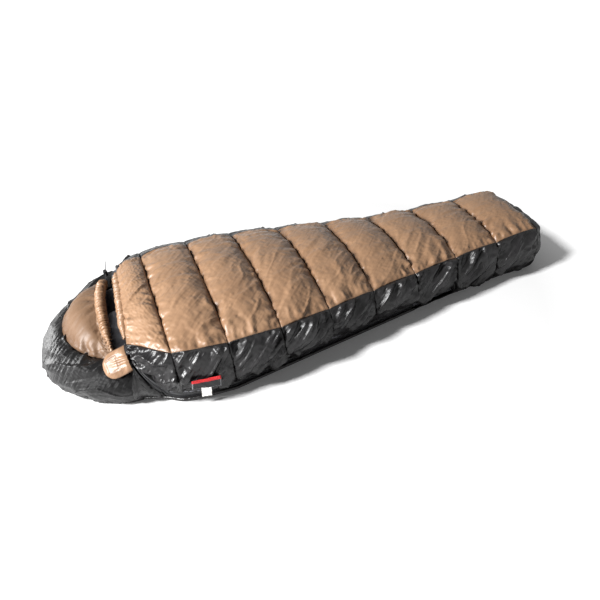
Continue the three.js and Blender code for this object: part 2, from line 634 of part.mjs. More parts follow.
const browLiner = sheet((a, v) => browPoint(a, v, BROW_LOFT), BROW_SHARES, BROW_ROWS.slice(1), down);
place(brow, 'brow_liner', browLiner, LINING);

const CHANNEL_RADIUS = 11;
const CHANNEL_BORE = 5;
const channelPath = steps(0, 1, 12).map(browEdge);
const BEYOND_NEAR = at(4, -12, -8); // the bore runs out through both ends
const BEYOND_FAR = at(-2, 12, -6);
const channelCore = [browEdge(0).add(BEYOND_NEAR), ...channelPath, browEdge(1).add(BEYOND_FAR)];
place(brow, 'cord_channel', cut(cord(channelPath, CHANNEL_RADIUS, 8), cord(channelCore, CHANNEL_BORE)), TAN);

// The drawcord runs in the channel and comes out straight at the far end, through the cord lock.
const TAIL_FROM = browEdge(1);
const TAIL_ALONG = at(0.17, 0.88, 0.44).normalize();
const CORD_RADIUS = 1.4;
const TAIL_LENGTH = 96;
const TAIL_STRAIGHT = 14; // from here on the tail is straight
const tailPoint = (distance) => TAIL_FROM.clone().addScaledVector(TAIL_ALONG, distance);
const cordPath = [...channelPath, tailPoint(TAIL_STRAIGHT), tailPoint(TAIL_LENGTH)];
place(brow, 'hood_drawcord', cord(cordPath, CORD_RADIUS), PLASTIC);

// A spring cord lock: a barrel and a button, both bored across for the cord.
const LOCK_REST = 42;
const SPRING_TURNS = 3;
const SPRING_RADIUS = 4.2;
const SPRING_WIRE = 0.35;
const SPRING_SPAN = [-7.4, -3.9];
const BARREL = { radius: 8, height: 20, z: -1, hollow: 6, hollowHeight: 19, hollowZ: 1.5, bore: 2.2 };
const BUTTON = { radius: 5.5, height: 16.7, z: 5.15, slot: 2.4, slotStretch: 2.7 };
const CAP = { radius: 6.8, height: 2.5, z: 13.9 };
function cordLock() {
  const up = at(0, 0, 1).addScaledVector(TAIL_ALONG, -TAIL_ALONG.z).normalize();
  const lock = new THREE.Group();
  lock.position.copy(tailPoint(LOCK_REST));
  lock.setRotationFromMatrix(new THREE.Matrix4().makeBasis(
    TAIL_ALONG, new THREE.Vector3().crossVectors(up, TAIL_ALONG), up));
  const upright = (radius, height, z, sides = 14) => new THREE.CylinderGeometry(radius, radius, height, sides)
    .rotateX(Math.PI / 2).translate(0, 0, z);
  const bore = (radius, stretch) => new THREE.CylinderGeometry(radius, radius, 40, 8)
    .rotateZ(Math.PI / 2).scale(1, 1, stretch);
  const barrel = upright(BARREL.radius, BARREL.height, BARREL.z);
  const hollow = upright(BARREL.hollow, BARREL.hollowHeight, BARREL.hollowZ);
  place(lock, 'cord_lock_barrel', cut(barrel, hollow, bore(BARREL.bore, 1)), PLASTIC);
  const stem = cut(upright(BUTTON.radius, BUTTON.height, BUTTON.z), bore(BUTTON.slot, BUTTON.slotStretch));
  place(lock, 'cord_lock_button', joined(stem, upright(CAP.radius, CAP.height, CAP.z)), PLASTIC);
  const coil = steps(0, SPRING_TURNS, SPRING_TURNS * 8).map((turn) => at(
    SPRING_RADIUS * Math.cos(2 * Math.PI * turn), SPRING_RADIUS * Math.sin(2 * Math.PI * turn),
    lerp(...SPRING_SPAN, turn / SPRING_TURNS)));
  place(lock, 'cord_lock_spring', cord(coil, SPRING_WIRE, 4), METAL);
  return lock;
}
brow.add(cordLock());

// ---- neck: draft collar and closure tab ----

const COLLAR_RADIUS = 11;
const COLLAR_REACH = 0.8;
const COLLAR_OFFSET = at(-15, 0, -17); // in front of the quilt's edge and below it
const collarPath = steps(-COLLAR_REACH, COLLAR_REACH, 10).map(
  (t) => quiltTop({ k: 1, share: 0 }, t).add(COLLAR_OFFSET));
place(quilt.front, 'neck_collar', cord(collarPath, COLLAR_RADIUS, 8), TAN);

// The tab is hinged along the front edge of the zip-side wall and lies over the top of the zip.
const TAB_TOP = at(-652, -178, 188);
const TAB_FOOT = at(-643, -249, 130);
const TAB_TIP = at(-735, -176, 146);
const TAB_THICK = 5;
const TAB_REACH = 96;
const TAB_TAPER = 4;
const TAB_ROUND = { from: 0.5, to: 1.17 }; // where the rounded end starts, and its control points
const PATCH = { width: 38, height: 34, thick: 1.6, gap: 0.4, across: 0.5, along: 0.58 };
function closureTab() {
  const root = TAB_FOOT.clone().sub(TAB_TOP);
  const width = root.length();
  root.normalize();
  const inwards = new THREE.Vector3().crossVectors(root, TAB_TIP.clone().sub(TAB_TOP)).normalize();
  const reach = new THREE.Vector3().crossVectors(inwards, root);
  const tab = new THREE.Group();
  tab.position.copy(TAB_TOP);
  tab.setRotationFromMatrix(new THREE.Matrix4().makeBasis(root, reach, inwards));
  const outline = new THREE.Shape();
  outline.moveTo(0, 0);
  outline.lineTo(width, 0);
  const start = TAB_REACH * TAB_ROUND.from;
  const pull = TAB_REACH * TAB_ROUND.to;
  outline.lineTo(width - TAB_TAPER, start);
  outline.bezierCurveTo(width - 2 * TAB_TAPER, pull, 2 * TAB_TAPER, pull, TAB_TAPER, start);
  outline.closePath();
  const cloth = new THREE.ExtrudeGeometry(
    outline, { depth: TAB_THICK, bevelEnabled: false, curveSegments: 10 });
  place(tab, 'closure_tab', cloth.translate(0, 0, -TAB_THICK), TAN);
  const patch = new THREE.BoxGeometry(PATCH.width, PATCH.height, PATCH.thick);
  place(tab, 'hook_patch', patch.translate(
    width * PATCH.across, TAB_REACH * PATCH.along, PATCH.gap + PATCH.thick / 2), LINING);
  return tab;
}
quilt.front.add(closureTab());

// ---- zip ----

const ZIP_INSET = 4; // behind the wall's foot
const STRAIGHT_STEP = 1;
const CURVED_STEP = 12; // smooths the frames where the zip turns

// Frames along the zip: p on its centre line, across pointing outwards and up pointing to the quilt's side.
function zipFrame(x) {
  const point = (xx) => {
    if (xx >= ZIP_CORNER_X) return at(xx, zipFootY(xx) + ZIP_INSET, ZIP_Z);
    const curve = wallCurve(xx, 0);
    const p = curve.getPoint(wallReach(curve, Math.max(zipHeight(xx), curve.v2.y)));
    return at(xx, p.x, zipHeight(xx));
  };
  const step = x >= ZIP_STRAIGHT_X ? STRAIGHT_STEP : CURVED_STEP;
  const ahead = point(x + step).sub(point(Math.max(x - step, ZIP_TOP.x))).normalize();
  const leaning = at(0, -Math.sin(ZIP_TILT), Math.cos(ZIP_TILT));
  const out = new THREE.Vector3().crossVectors(ahead, leaning).normalize();
  if (out.y > 0) out.negate();
  const up = new THREE.Vector3().crossVectors(out, ahead).normalize();
  if (up.z < 0) up.negate();
  return { p: point(x), across: out, up, ahead };
}
const TAPE_HALF = 12;
const COIL_HALF = 1.5;
const TAPE_SKIN = 0.5; // half the tape's thickness
const COIL = { inner: 0.35, outer: 2.4, shoulder: 3 };
const tapeProfile = (side) => [
  [-TAPE_SKIN, TAPE_HALF], [TAPE_SKIN, TAPE_HALF], [TAPE_SKIN, COIL.shoulder], [COIL_HALF, COIL.outer],
  [COIL_HALF, COIL.inner], [-COIL_HALF, COIL.inner], [-COIL_HALF, COIL.outer], [-TAPE_SKIN, COIL.shoulder],
].map(([a, b]) => [a, side * b]);
const zipTape = (xs, side) => sweep(xs.map(zipFrame), tapeProfile(side));
const CURVED_XS = [-641, -620, -600, -580, ZIP_CORNER_X, -530, -480, -420, -380];
place(bag, 'zip_tape_bottom', zipTape([...CURVED_XS, ZIP_STRAIGHT_X, ZIP_END_X], -1), CHARCOAL);
place(quilt.front, 'zip_tape_front', zipTape([...CURVED_XS, ZIP_STRAIGHT_X - GAP / 2], 1), CHARCOAL);
place(quilt.middle, 'zip_tape_middle', zipTape([seamX(2) + GAP / 2, seamX(4) - GAP / 2], 1), CHARCOAL);
place(quilt.rear, 'zip_tape_rear', zipTape([seamX(4) + GAP / 2, ZIP_END_X], 1), CHARCOAL);

// A group in the zip's own axes: x towards the feet, y towards the quilt and z outwards.
function onZip(x) {
  const { p, across, up, ahead } = zipFrame(x);
  const group = new THREE.Group();
  group.position.copy(p);
  group.setRotationFromMatrix(new THREE.Matrix4().makeBasis(ahead, up, across));
  return group;
}

const SLIDER_X = -322; // the upper slider, with the bag zipped up as far as its straight run
const LOWER_SLIDER_X = 330; // the second slider, which opens the bag from the feet
const PIN_Z = 5.6; // the pull's pivot, above the tape
const PULL_LENGTH = 25;
const PULL_HALF = 1.9;
const PULL_THICK = 4;
const PULL_EYE = 1.1;
const PLATE = { thick: 1.4, z: 2.1 };
const PLATE_OUTLINE = [[-7, -3.2], [4, -4.6], [7, -3.4], [7, 3.4], [4, 4.6], [-7, 3.2]];
const LUG = { size: [3.4, 1, 4], y: 2.9, z: 5.1 };
const PIN = { radius: 0.7, length: 6.4 };

// Each slider is drawn as its outer plate, with two lugs and the pin that the pull swings on.
function slider(name, x, heading) {
  const group = onZip(x);
  const outline = new THREE.Shape(corners(PLATE_OUTLINE.map(([a, b]) => [a * heading, b * heading])));
  const plate = new THREE.ExtrudeGeometry(outline, { depth: PLATE.thick, bevelEnabled: false })
    .translate(0, 0, PLATE.z);
  const lug = (y) => new THREE.BoxGeometry(...LUG.size).translate(0, y, LUG.z);
  const pin = new THREE.CylinderGeometry(PIN.radius, PIN.radius, PIN.length, 8).translate(0, 0, PIN_Z);
  place(group, `${name}_slider`, joined(plate, lug(LUG.y), lug(-LUG.y), pin), METAL);

  const outer = new THREE.Shape().absarc(0, 0, PULL_HALF, -Math.PI / 2, Math.PI / 2, false);
  outer.lineTo(-PULL_LENGTH + PULL_HALF + 1.5, PULL_HALF);
  outer.absarc(-PULL_LENGTH + PULL_HALF, 0, PULL_HALF, Math.PI / 2, (3 * Math.PI) / 2, false);
  outer.closePath();
  outer.holes.push(new THREE.Path().absarc(0, 0, PULL_EYE, 0, 2 * Math.PI, true));
  const tab = new THREE.ExtrudeGeometry(outer, { depth: PULL_THICK, bevelEnabled: false, curveSegments: 4 })
    .rotateX(Math.PI / 2).translate(0, PULL_THICK / 2, PIN_Z).rotateY(heading < 0 ? Math.PI : 0);
  if (heading < 0) tab.translate(0, 0, 2 * PIN_Z);
  place(group, `${name}_pull`, tab, METAL);
  return group;
}
bag.add(slider('upper', SLIDER_X, 1), slider('lower', LOWER_SLIDER_X, -1));

const STOP = { size: [3.4, 9, 4], behind: 2.6 };
const stop = onZip(ZIP_END_X + STOP.behind);
place(stop, 'zip_end_stop', new THREE.BoxGeometry(...STOP.size), METAL);
bag.add(stop);

// ---- labels ----

// Flat against the zip-side wall: x along the wall, y up it and z outwards.
const REACH_X = 20; // the wall's lie is taken over these spans
const REACH_Z = 12;
function onWall(x, height) {
  const y = (xx, zz) => {
    const curve = wallCurve(xx, 0);
    return curve.getPoint(wallReach(curve, zz)).x;
  };
  const level = at(2 * REACH_X, y(x + REACH_X, height) - y(x - REACH_X, height), 0).normalize();
  const up = at(0, y(x, height + REACH_Z) - y(x, height - REACH_Z), 2 * REACH_Z).normalize();
  const out = new THREE.Vector3().crossVectors(level, up).normalize();
  const group = new THREE.Group();
  group.position.set(x, y(x, height), height);
  group.setRotationFromMatrix(new THREE.Matrix4().makeBasis(
    level, new THREE.Vector3().crossVectors(out, level), out));
  return group;
}
const LABEL = { x: -436, z: 92, width: 88, height: 46, thick: 1.2 };
const TAG = { x: -6, width: 27, height: 36, thick: 0.8, gap: 0.6 };
const LABEL_LIFT = 1.6; // clear of the wall
const labels = onWall(LABEL.x, LABEL.z);
const label = new THREE.BoxGeometry(LABEL.width, LABEL.height, LABEL.thick).translate(0, 0, LABEL_LIFT);
place(labels, 'woven_label', label, CHARCOAL);
const tag = new THREE.BoxGeometry(TAG.width, TAG.height, TAG.thick)
  .translate(TAG.x, -(LABEL.height + TAG.height) / 2 - TAG.gap, LABEL_LIFT);
place(labels, 'side_tag', tag, WHITE_CLOTH);
quilt.front.add(labels);

export default bag;
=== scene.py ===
"""A lofted mummy sleeping bag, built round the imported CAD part.

Metres, +X from the hood to the feet, -Y the zip side.

The fabric over the down is one grid per panel. Its seam lines are held and the cloth between them is given
slack and blown out by Blender's cloth simulation, which makes the puckers along every seam.
"""

import math

import bpy
import numpy as np
from mathutils import Matrix, Vector


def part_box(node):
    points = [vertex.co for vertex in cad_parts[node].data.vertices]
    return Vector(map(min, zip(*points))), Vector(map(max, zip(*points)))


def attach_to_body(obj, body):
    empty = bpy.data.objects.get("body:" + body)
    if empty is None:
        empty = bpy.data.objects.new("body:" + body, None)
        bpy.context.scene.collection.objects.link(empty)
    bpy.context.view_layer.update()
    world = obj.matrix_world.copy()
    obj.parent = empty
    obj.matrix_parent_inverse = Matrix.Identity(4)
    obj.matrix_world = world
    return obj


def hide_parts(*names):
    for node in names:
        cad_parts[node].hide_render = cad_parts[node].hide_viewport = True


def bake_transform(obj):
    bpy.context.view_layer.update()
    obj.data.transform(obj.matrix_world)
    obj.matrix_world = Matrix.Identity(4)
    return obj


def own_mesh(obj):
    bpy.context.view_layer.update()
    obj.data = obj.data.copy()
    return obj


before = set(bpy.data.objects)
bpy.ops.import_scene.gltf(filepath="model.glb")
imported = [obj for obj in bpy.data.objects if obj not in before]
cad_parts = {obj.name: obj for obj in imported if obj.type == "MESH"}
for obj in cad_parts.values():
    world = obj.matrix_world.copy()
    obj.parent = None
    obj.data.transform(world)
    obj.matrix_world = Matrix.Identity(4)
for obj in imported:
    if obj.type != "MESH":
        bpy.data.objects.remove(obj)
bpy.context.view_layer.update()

# ---- sizes, in metres ----

PITCH = 0.179
FIRST_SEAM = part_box("top_shell_middle")[0].x - 0.0025 - PITCH
CHAMBERS = 9
FOOT_EDGE = FIRST_SEAM + 8 * PITCH
NECK = -0.618
NECK_SLANT = 0.025
HOOD_X, HOOD_Y = -0.640, 0.062
HOOD_RADIUS = 0.320
HOOD_INNER = 0.196
ZIP_TOP_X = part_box("side_shell_front")[0].x
ZIP_TOP_Z = 0.168
ZIP_CORNER = -0.560
ZIP_Z = 0.022
ZIP_STRAIGHT = -0.3385
ZIP_SLOPE = 0.1723
LOFT = 0.034
WALL = 0.045

QUILT_PUFF = 0.027
WALL_PUFF = 0.014
PUFF_POWER = 0.55  # the lower it is, the fuller a chamber is close to its seams
WALL_SHARE = 0.25  # how much of the quilt's puff lifts the top of a wall
FAR_RAISE = 0.25  # how much higher the far seam lies, as a share of the quilt's rise
ZIP_INSET = 0.026  # how far the zip lies inside the belly's line
TURN_IN = 0.030  # how far inside the belly's line and the hood's rim the walls meet the ground
FOOT_Z = 0.003  # height at which a wall meets the ground
GROUND_Z = 0.0025  # height of the underside's fabric
CURVE_STEPS = 200  # points at which a wall's curve is looked up
SEED = 7
rng = np.random.default_rng(SEED)

# The quilt's runs of chambers, the CAD segment of each, and the bodies that a bending run lies between.
RUNS = {"front": (1, 2), "bend_front": (3, 3), "bend_middle": (4, 4), "bend_rear": (5, 6), "foot": (7, 9)}
SEGMENT = {
    "front": "front", "bend_front": "middle", "bend_middle": "middle", "bend_rear": "rear", "foot": "foot"}
BENDS = {
    "bend_front": ("quilt_front", "quilt_middle"),
    "bend_middle": ("quilt_middle", "quilt_rear"),
    "bend_rear": ("quilt_rear", "base"),
}


# ---- outline of the bag ----

def along(stations):
    """A smooth curve through (x, value) stations, as a function of an array of x."""
    xs, vs = (np.array(column, float) for column in zip(*stations))
    slopes = np.empty(len(xs))
    for i in range(len(xs)):
        a, b = max(i - 1, 0), min(i + 1, len(xs) - 1)
        slopes[i] = (vs[b] - vs[a]) / (xs[b] - xs[a])

    def value(x):
        x = np.asarray(x, float)
        i = np.clip(np.searchsorted(xs, x) - 1, 0, len(xs) - 2)
        h = xs[i + 1] - xs[i]
        s = np.clip((x - xs[i]) / h, 0, 1)
        rising = (1 + 2 * s) * (1 - s) ** 2 * vs[i] + s * (1 - s) ** 2 * h * slopes[i]
        return rising + s * s * (3 - 2 * s) * vs[i + 1] + s * s * (s - 1) * h * slopes[i + 1]

    return value


centre_y = along([(-0.645, 0.050), (-0.618, 0.040), (-0.517, 0.008), (-0.420, 0), (FOOT_EDGE, 0)])
seam_half = along([
    (-0.645, 0.240), (-0.618, 0.262), (-0.517, 0.335), (-0.338, 0.350), (-0.160, 0.340), (0.020, 0.306),
    (0.198, 0.266), (0.378, 0.230), (0.556, 0.203), (0.736, 0.185), (FOOT_EDGE, 0.176), (0.9525, 0.168)])
belly = along([
    (-0.645, 0.317), (-0.567, 0.326), (-0.517, 0.346), (-0.338, 0.362), (-0.160, 0.352), (0.020, 0.318),
    (0.198, 0.278), (0.378, 0.242), (0.556, 0.214), (0.736, 0.196), (FOOT_EDGE, 0.186), (0.9525, 0.168)])
seam_z = along([
    (-0.645, 0.198), (-0.517, 0.212), (-0.338, 0.205), (-0.160, 0.196), (0.020, 0.186), (0.198, 0.177),
    (0.378, 0.171), (0.556, 0.169), (0.736, 0.171), (FOOT_EDGE, 0.176), (0.9525, 0.160)])
rise = along([
    (-0.645, 0.030), (-0.517, 0.045), (-0.338, 0.058), (0, 0.058), (0.400, 0.044), (FOOT_EDGE, 0.022)])


def seam_x(k):
    return FIRST_SEAM + PITCH * (k - 1)


def neck_x(t):
    return NECK - NECK_SLANT * ((1 - t) / 2) ** 2


def bezier(points, s):
    """Points on a quadratic or cubic curve; each control point is an array of coordinates by row."""
    n = len(points) - 1
    s = np.asarray(s, float)
    total = 0
    for i, p in enumerate(points):
        total = total + math.comb(n, i) * ((1 - s) ** (n - i) * s ** i)[..., None] * np.asarray(p, float)
    return total


def zip_foot_y(x):
    bent = centre_y(x) - belly(x) + ZIP_INSET
    straight = centre_y(ZIP_STRAIGHT) - belly(ZIP_STRAIGHT) + ZIP_INSET + ZIP_SLOPE * (x - ZIP_STRAIGHT)
    return np.where(x < ZIP_STRAIGHT, bent, straight)


def zip_height(x):
    climb = np.clip((ZIP_CORNER - x) / (ZIP_CORNER - ZIP_TOP_X), 0, 1)
    return ZIP_Z + (ZIP_TOP_Z - ZIP_Z) * climb


# ---- the panels, as functions of place ----

def puffed(share):
    """How full a chamber is, from 0 at its seams to 1 half-way between them."""
    return (4 * share * (1 - share)) ** PUFF_POWER


def bulge_of(s, share):
    """How far a wall stands out, and how much higher it is, for the puff of its chamber."""
    out = WALL_PUFF * puffed(share) * math.sin(math.pi * min(s + 0.08, 1.0))
    return out, WALL_SHARE * QUILT_PUFF * puffed(share) * (1 - s) ** 3


def wall_curve(top, belly_y, foot):
    """The control points of a wall that passes the belly's line half-way down."""
    middle = np.array([belly_y, (top[1] + foot[1]) / 2])
    return [top, 2 * middle - (top + foot) / 2, foot]


def top_point(x, t, share):
    """The tan top: t runs from -1 on the zip side to 1 on the far side."""
    lift = QUILT_PUFF * puffed(share) * (1 - 0.75 * t ** 4)
    high = seam_z(x) + rise(x) * (1 - t * t + FAR_RAISE * max(t, 0) ** 2) + lift
    return np.array([x, centre_y(x) + seam_half(x) * t * (1 + 0.35 * lift), high])


def near_curve(x):
    top = np.array([centre_y(x) - seam_half(x), seam_z(x)])
    if x < seam_x(7):
        foot = np.array([zip_foot_y(x) - 0.003, ZIP_Z + 0.012])
    else:
        foot = np.array([centre_y(x) - belly(x) + TURN_IN, FOOT_Z])
    return wall_curve(top, centre_y(x) - belly(x), foot)


def near_y(x, z):
    """Where the zip-side wall stands at x, at the height z."""
    fine = bezier(near_curve(x), np.linspace(0, 1, CURVE_STEPS))
    return np.interp(z, fine[::-1, 1], fine[::-1, 0])


def near_point(x, s, share):
    """The zip-side wall, from the tan seam (s = 0) down to the zip (s = 1), cut off along the zip's climb."""
    curve = near_curve(x)
    reach = 1.0
    lowest = zip_height(x) + (0.020 if x < ZIP_CORNER else 0.010)
    if x < FIRST_SEAM:
        fine = np.linspace(0, 1, CURVE_STEPS)
        below = bezier(curve, fine)[:, 1] < lowest
        reach = fine[np.argmax(below)] if below.any() else 1.0
    y, z = bezier(curve, np.array(s * reach))
    out, lift = bulge_of(s, share)
    return np.array([x, y - out, z + lift])


def far_point(x, s, share):
    """The far wall, from the far seam (s = 0) down to the ground (s = 1)."""
    top = np.array([centre_y(x) + seam_half(x), seam_z(x) + FAR_RAISE * rise(x)])
    foot = np.array([centre_y(x) + belly(x) - TURN_IN, FOOT_Z])
    y, z = bezier(wall_curve(top, centre_y(x) + belly(x), foot), np.array(s))
    out, lift = bulge_of(s, share)
    return np.array([x, y + out, z + lift])


hood_rim = along([(-1.571, 0.112), (-1.17, 0.125), (-0.52, 0.150), (0, 0.166), (0.8, 0.182), (1.571, 0.188)])


def hood_radius(angle):
    swell = np.where(angle < 0, 0.020, 0.004)
    return HOOD_RADIUS - 0.022 * np.sin(2 * angle) ** 2 + swell * np.sin(angle) ** 2


def hood_at(angle, r, z):
    return np.array([HOOD_X - r * math.cos(angle), HOOD_Y + r * math.sin(angle), z])


def hood_point(angle, s, _share):
    """The hood's roll, from the brow panel's edge (s = 0) over the rim to the ground (s = 1)."""
    past_end = max(-math.pi / 2 - angle, 0)
    outer = float(hood_radius(angle)) - 0.10 * past_end - 1.2 * past_end ** 2
    rim = float(hood_rim(angle)) * (1 - 2.6 * past_end)
    slope = float(np.interp(angle, (-1.25, -0.65, 0.9, 1.5), (0, 1, 1, 0)))
    r, z = bezier([
        (HOOD_INNER - 0.006, rim - 0.024), (HOOD_INNER + 0.050 - 0.025 * slope, rim + 0.050 - 0.030 * slope),
        (outer + 0.034 - 0.004 * slope, rim * (0.74 - 0.20 * slope)), (outer - TURN_IN, FOOT_Z)], np.array(s))
    return hood_at(angle, r, z)


# ---- grids and cloth ----

def grid(point_at, us, vs, shares=None):
    shares = np.full(len(us), 0.5) if shares is None else shares
    return np.array([[point_at(u, v, share) for v in vs] for u, share in zip(us, shares)])


def mesh_from(name, vertices, faces):
    data = bpy.data.meshes.new(name)
    data.from_pydata([tuple(v) for v in vertices], [], faces)
    data.update()
    obj = bpy.data.objects.new(name, data)
    bpy.context.scene.collection.objects.link(obj)
    return obj


def points_of(obj):
    return np.array([v.co for v in obj.data.vertices])


def grid_faces(rows, cols, flip):
    i, j = np.meshgrid(np.arange(rows - 1), np.arange(cols - 1), indexing="ij")
    a = (i * cols + j).ravel()
    quads = np.stack([a, a + 1, a + cols + 1, a + cols], axis=1)
    if flip:
        quads = quads[:, ::-1]
    return quads.tolist()


FRAMES = 16
SHAKE = 0.0005  # how far the free points start from the grid, so that the cloth buckles
FABRIC = {
    "quality": 5, "mass": 0.15, "tension_stiffness": 25, "compression_stiffness": 25, "shear_stiffness": 10,
    "bending_stiffness": 0.04, "air_damping": 4, "vertex_group_mass": "held", "use_pressure": True}


def blown(points, hold_rows, hold_cols, flip, slack, pressure, cap):
    """Blows the cloth of a grid outwards between the rows and columns that are held, by no more than cap.

    slack is how much longer the cloth is than the grid, along x, y and z or in all of them.
    """
    rows, cols = points.shape[:2]
    held = np.zeros((rows, cols), bool)
    held[hold_rows, :] = True
    held[:, hold_cols] = True
    flat = points.reshape(-1, 3)
    start = flat + np.where(held.reshape(-1, 1), 0, rng.normal(0, SHAKE, flat.shape))
    obj = mesh_from("cloth", start, grid_faces(rows, cols, flip))
    group = obj.vertex_groups.new(name="held")
    group.add([int(i) for i in np.flatnonzero(held)], 1.0, "REPLACE")
    obj.shape_key_add(name="Basis")
    resting = obj.shape_key_add(name="resting")
    rest = flat * (1 + np.array(slack))
    resting.data.foreach_set("co", rest.astype(np.float32).ravel())
    cloth = obj.modifiers.new("cloth", "CLOTH")
    settings = cloth.settings
    for key, value in FABRIC.items():
        setattr(settings, key, value)
    settings.rest_shape_key = resting
    settings.uniform_pressure_force = pressure
    settings.effector_weights.gravity = 0
    cloth.collision_settings.use_collision = False
    cloth.point_cache.frame_start = 1
    cloth.point_cache.frame_end = FRAMES
    scene = bpy.context.scene
    for number in range(1, FRAMES + 1):
        scene.frame_set(number)
    evaluated = obj.evaluated_get(bpy.context.evaluated_depsgraph_get())
    moved = points_of(evaluated)
    bpy.data.objects.remove(obj)
    scene.frame_set(1)
    step = moved - flat
    length = np.linalg.norm(step, axis=1, keepdims=True)
    step *= np.minimum(1, cap / np.maximum(length, 1e-9))
    step[held.ravel()] = 0
    return (flat + step).reshape(points.shape)


def refined(points):
    """Twice as many points each way, on a smooth surface through the old ones."""
    for axis in (0, 1):
        p = np.moveaxis(points, axis, 0)
        before = np.concatenate([2 * p[:1] - p[1:2], p[:-2]])
        after = np.concatenate([p[2:], 2 * p[-1:] - p[-2:-1]])
        middle = (9 * (p[:-1] + p[1:]) - before - after) / 16
        both = np.empty((2 * len(p) - 1,) + p.shape[1:])
        both[0::2], both[1::2] = p, middle
        points = np.moveaxis(both, 0, axis)
    return points


LATTICE = 64  # bumps before the noise repeats
NORMAL_SMOOTHING = 14  # passes


def field(seed, a, b):
    """Smooth noise between about -1 and 1 over two coordinates whose unit is one bump."""
    lattice = np.random.default_rng(seed).uniform(-1, 1, (LATTICE, LATTICE))
    a, b = np.broadcast_arrays(a, b)
    i, j = np.floor(a).astype(int), np.floor(b).astype(int)
    u, v = a - i, b - j
    u, v = u * u * u * (u * (u * 6 - 15) + 10), v * v * v * (v * (v * 6 - 15) + 10)

    def at(di, dj):
        return lattice[(i + di) % LATTICE, (j + dj) % LATTICE]

    return (at(0, 0) * (1 - u) + at(1, 0) * u) * (1 - v) + (at(0, 1) * (1 - u) + at(1, 1) * u) * v


def normals_of(points):
    du, dv = np.gradient(points, axis=0), np.gradient(points, axis=1)
    normals = np.cross(dv, du)
    for _ in range(NORMAL_SMOOTHING):
        for axis in (0, 1):
            p = np.moveaxis(normals, axis, 0)
            wide = np.concatenate([p[:1], p, p[-1:]])
            normals = np.moveaxis((wide[:-2] + 2 * wide[1:-1] + wide[2:]) / 4, 0, axis)
        normals = normals / np.maximum(np.linalg.norm(normals, axis=2, keepdims=True), 1e-12)
    return normals


def wrinkled(points, seed, rows=0.0, cols=0.0, folds=0.0, slant=0.7, fade=(1.0, 1.0), out=1.0, apart=0.036,
             shear=0.0, reach=0.024):
    """Adds gathers and folds to a sewn panel, along its normals, with its four edges left where they are.

    rows is the depth of the gathers at the first and last row, cols at the first and last column, and folds
    the depth of the long creases, which run at the angle slant from the rows and fade across the columns.
    apart is the distance between creases, reach how far the gathers run from an edge, and shear how much
    those at the first and last column lean.
    """
    step_u = np.linalg.norm(np.diff(points, axis=0, prepend=points[:1]), axis=2).mean(axis=1)
    step_v = np.linalg.norm(np.diff(points, axis=1, prepend=points[:, :1]), axis=2).mean(axis=0)
    u, v = np.cumsum(step_u)[:, None], np.cumsum(step_v)[None, :]
    u_end, v_end = u[-1, 0] - u, v[0, -1] - v
    height = 0
    for depth, edge, run, number in (
            (rows, u, v, 1), (rows, u_end, v, 2),
            (cols, v, u + shear * v, 3), (cols, v_end, u - shear * v_end, 4)):
        bend = 0.5 * field(seed + number, run / 0.07, edge / 0.05)
        fine = field(seed + 10 + number, run / 0.0105 + bend, edge / 0.080)
        broad = field(seed + 20 + number, run / 0.024 + bend, edge / 0.130)
        varied = reach * (1 + 0.6 * field(seed + 30 + number, run / 0.05, 0.0))
        fine = 0.45 * fine * np.exp(-edge / varied)
        height = height + depth * (fine + 0.8 * broad * np.exp(-edge / (2 * varied)))
    along_fold = u * math.cos(slant) + v * math.sin(slant)
    over_fold = v * math.cos(slant) - u * math.sin(slant)
    bend = 0.9 * field(seed + 41, along_fold / 0.12, over_fold / 0.12)
    crease = 1 - 2 * np.abs(field(seed + 42, over_fold / apart + bend, along_fold / 0.17))
    second = field(seed + 43, over_fold / (0.5 * apart) + bend, along_fold / 0.09)
    mask = 0.5 + 0.5 * field(seed + 44, u / 0.09, v / 0.13)
    mask = mask * (fade[0] + (fade[1] - fade[0]) * v / v[0, -1])
    height = height + folds * mask * (0.8 * np.maximum(crease, 0) ** 2 + 0.35 * second)
    window = 1
    for edge in (u, u_end, v, v_end):
        window = window * (1 - np.exp(-(edge / 0.008) ** 1.6))
    return points + normals_of(points) * (out * height * window)[..., None]


def from_ends(count):
    """How many steps each of count points in a row is from the nearer end."""
    return np.minimum(np.arange(count), count - 1 - np.arange(count))


def piece(name, patches, flip, material, thickness=0.0012):
    """One object from several grids, each with its points' distance from a seam, or one distance for all."""
    vertices, faces, seams, offset = [], [], [], 0
    for points, distance in patches:
        rows, cols = points.shape[:2]
        vertices.append(points.reshape(-1, 3))
        seams.append(np.broadcast_to(distance, (rows, cols)).ravel())
        faces += [[i + offset for i in face] for face in grid_faces(rows, cols, flip)]
        offset += rows * cols
    obj = mesh_from(name, np.concatenate(vertices), faces)
    attribute = obj.data.attributes.new("seam", "FLOAT", "POINT")
    attribute.data.foreach_set("value", np.concatenate(seams).astype(np.float32))
    obj.data.materials.append(material)
    obj.data.polygons.foreach_set("use_smooth", [True] * len(obj.data.polygons))
    if thickness:
        solid = obj.modifiers.new("thickness", "SOLIDIFY")
        solid.thickness = thickness
        solid.offset = -1
    return obj


def fitted(obj, slot_name, body, *nodes):
    """Gives a piece the body or run that it moves with, and hides the CAD nodes it replaces. slot_name is not
    used.
    """
    if body in RUNS:
        attach(obj, body)
    else:
        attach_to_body(obj, body)
    if nodes:
        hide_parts(*nodes)
    return obj


def attach(obj, run):
    """Rides with its body; a run that lies between two bodies is left where it is, unparented."""
    if run in BENDS:
        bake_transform(obj)
    else:
        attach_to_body(obj, "quilt_front" if run == "front" else "base")


# ---- materials ----

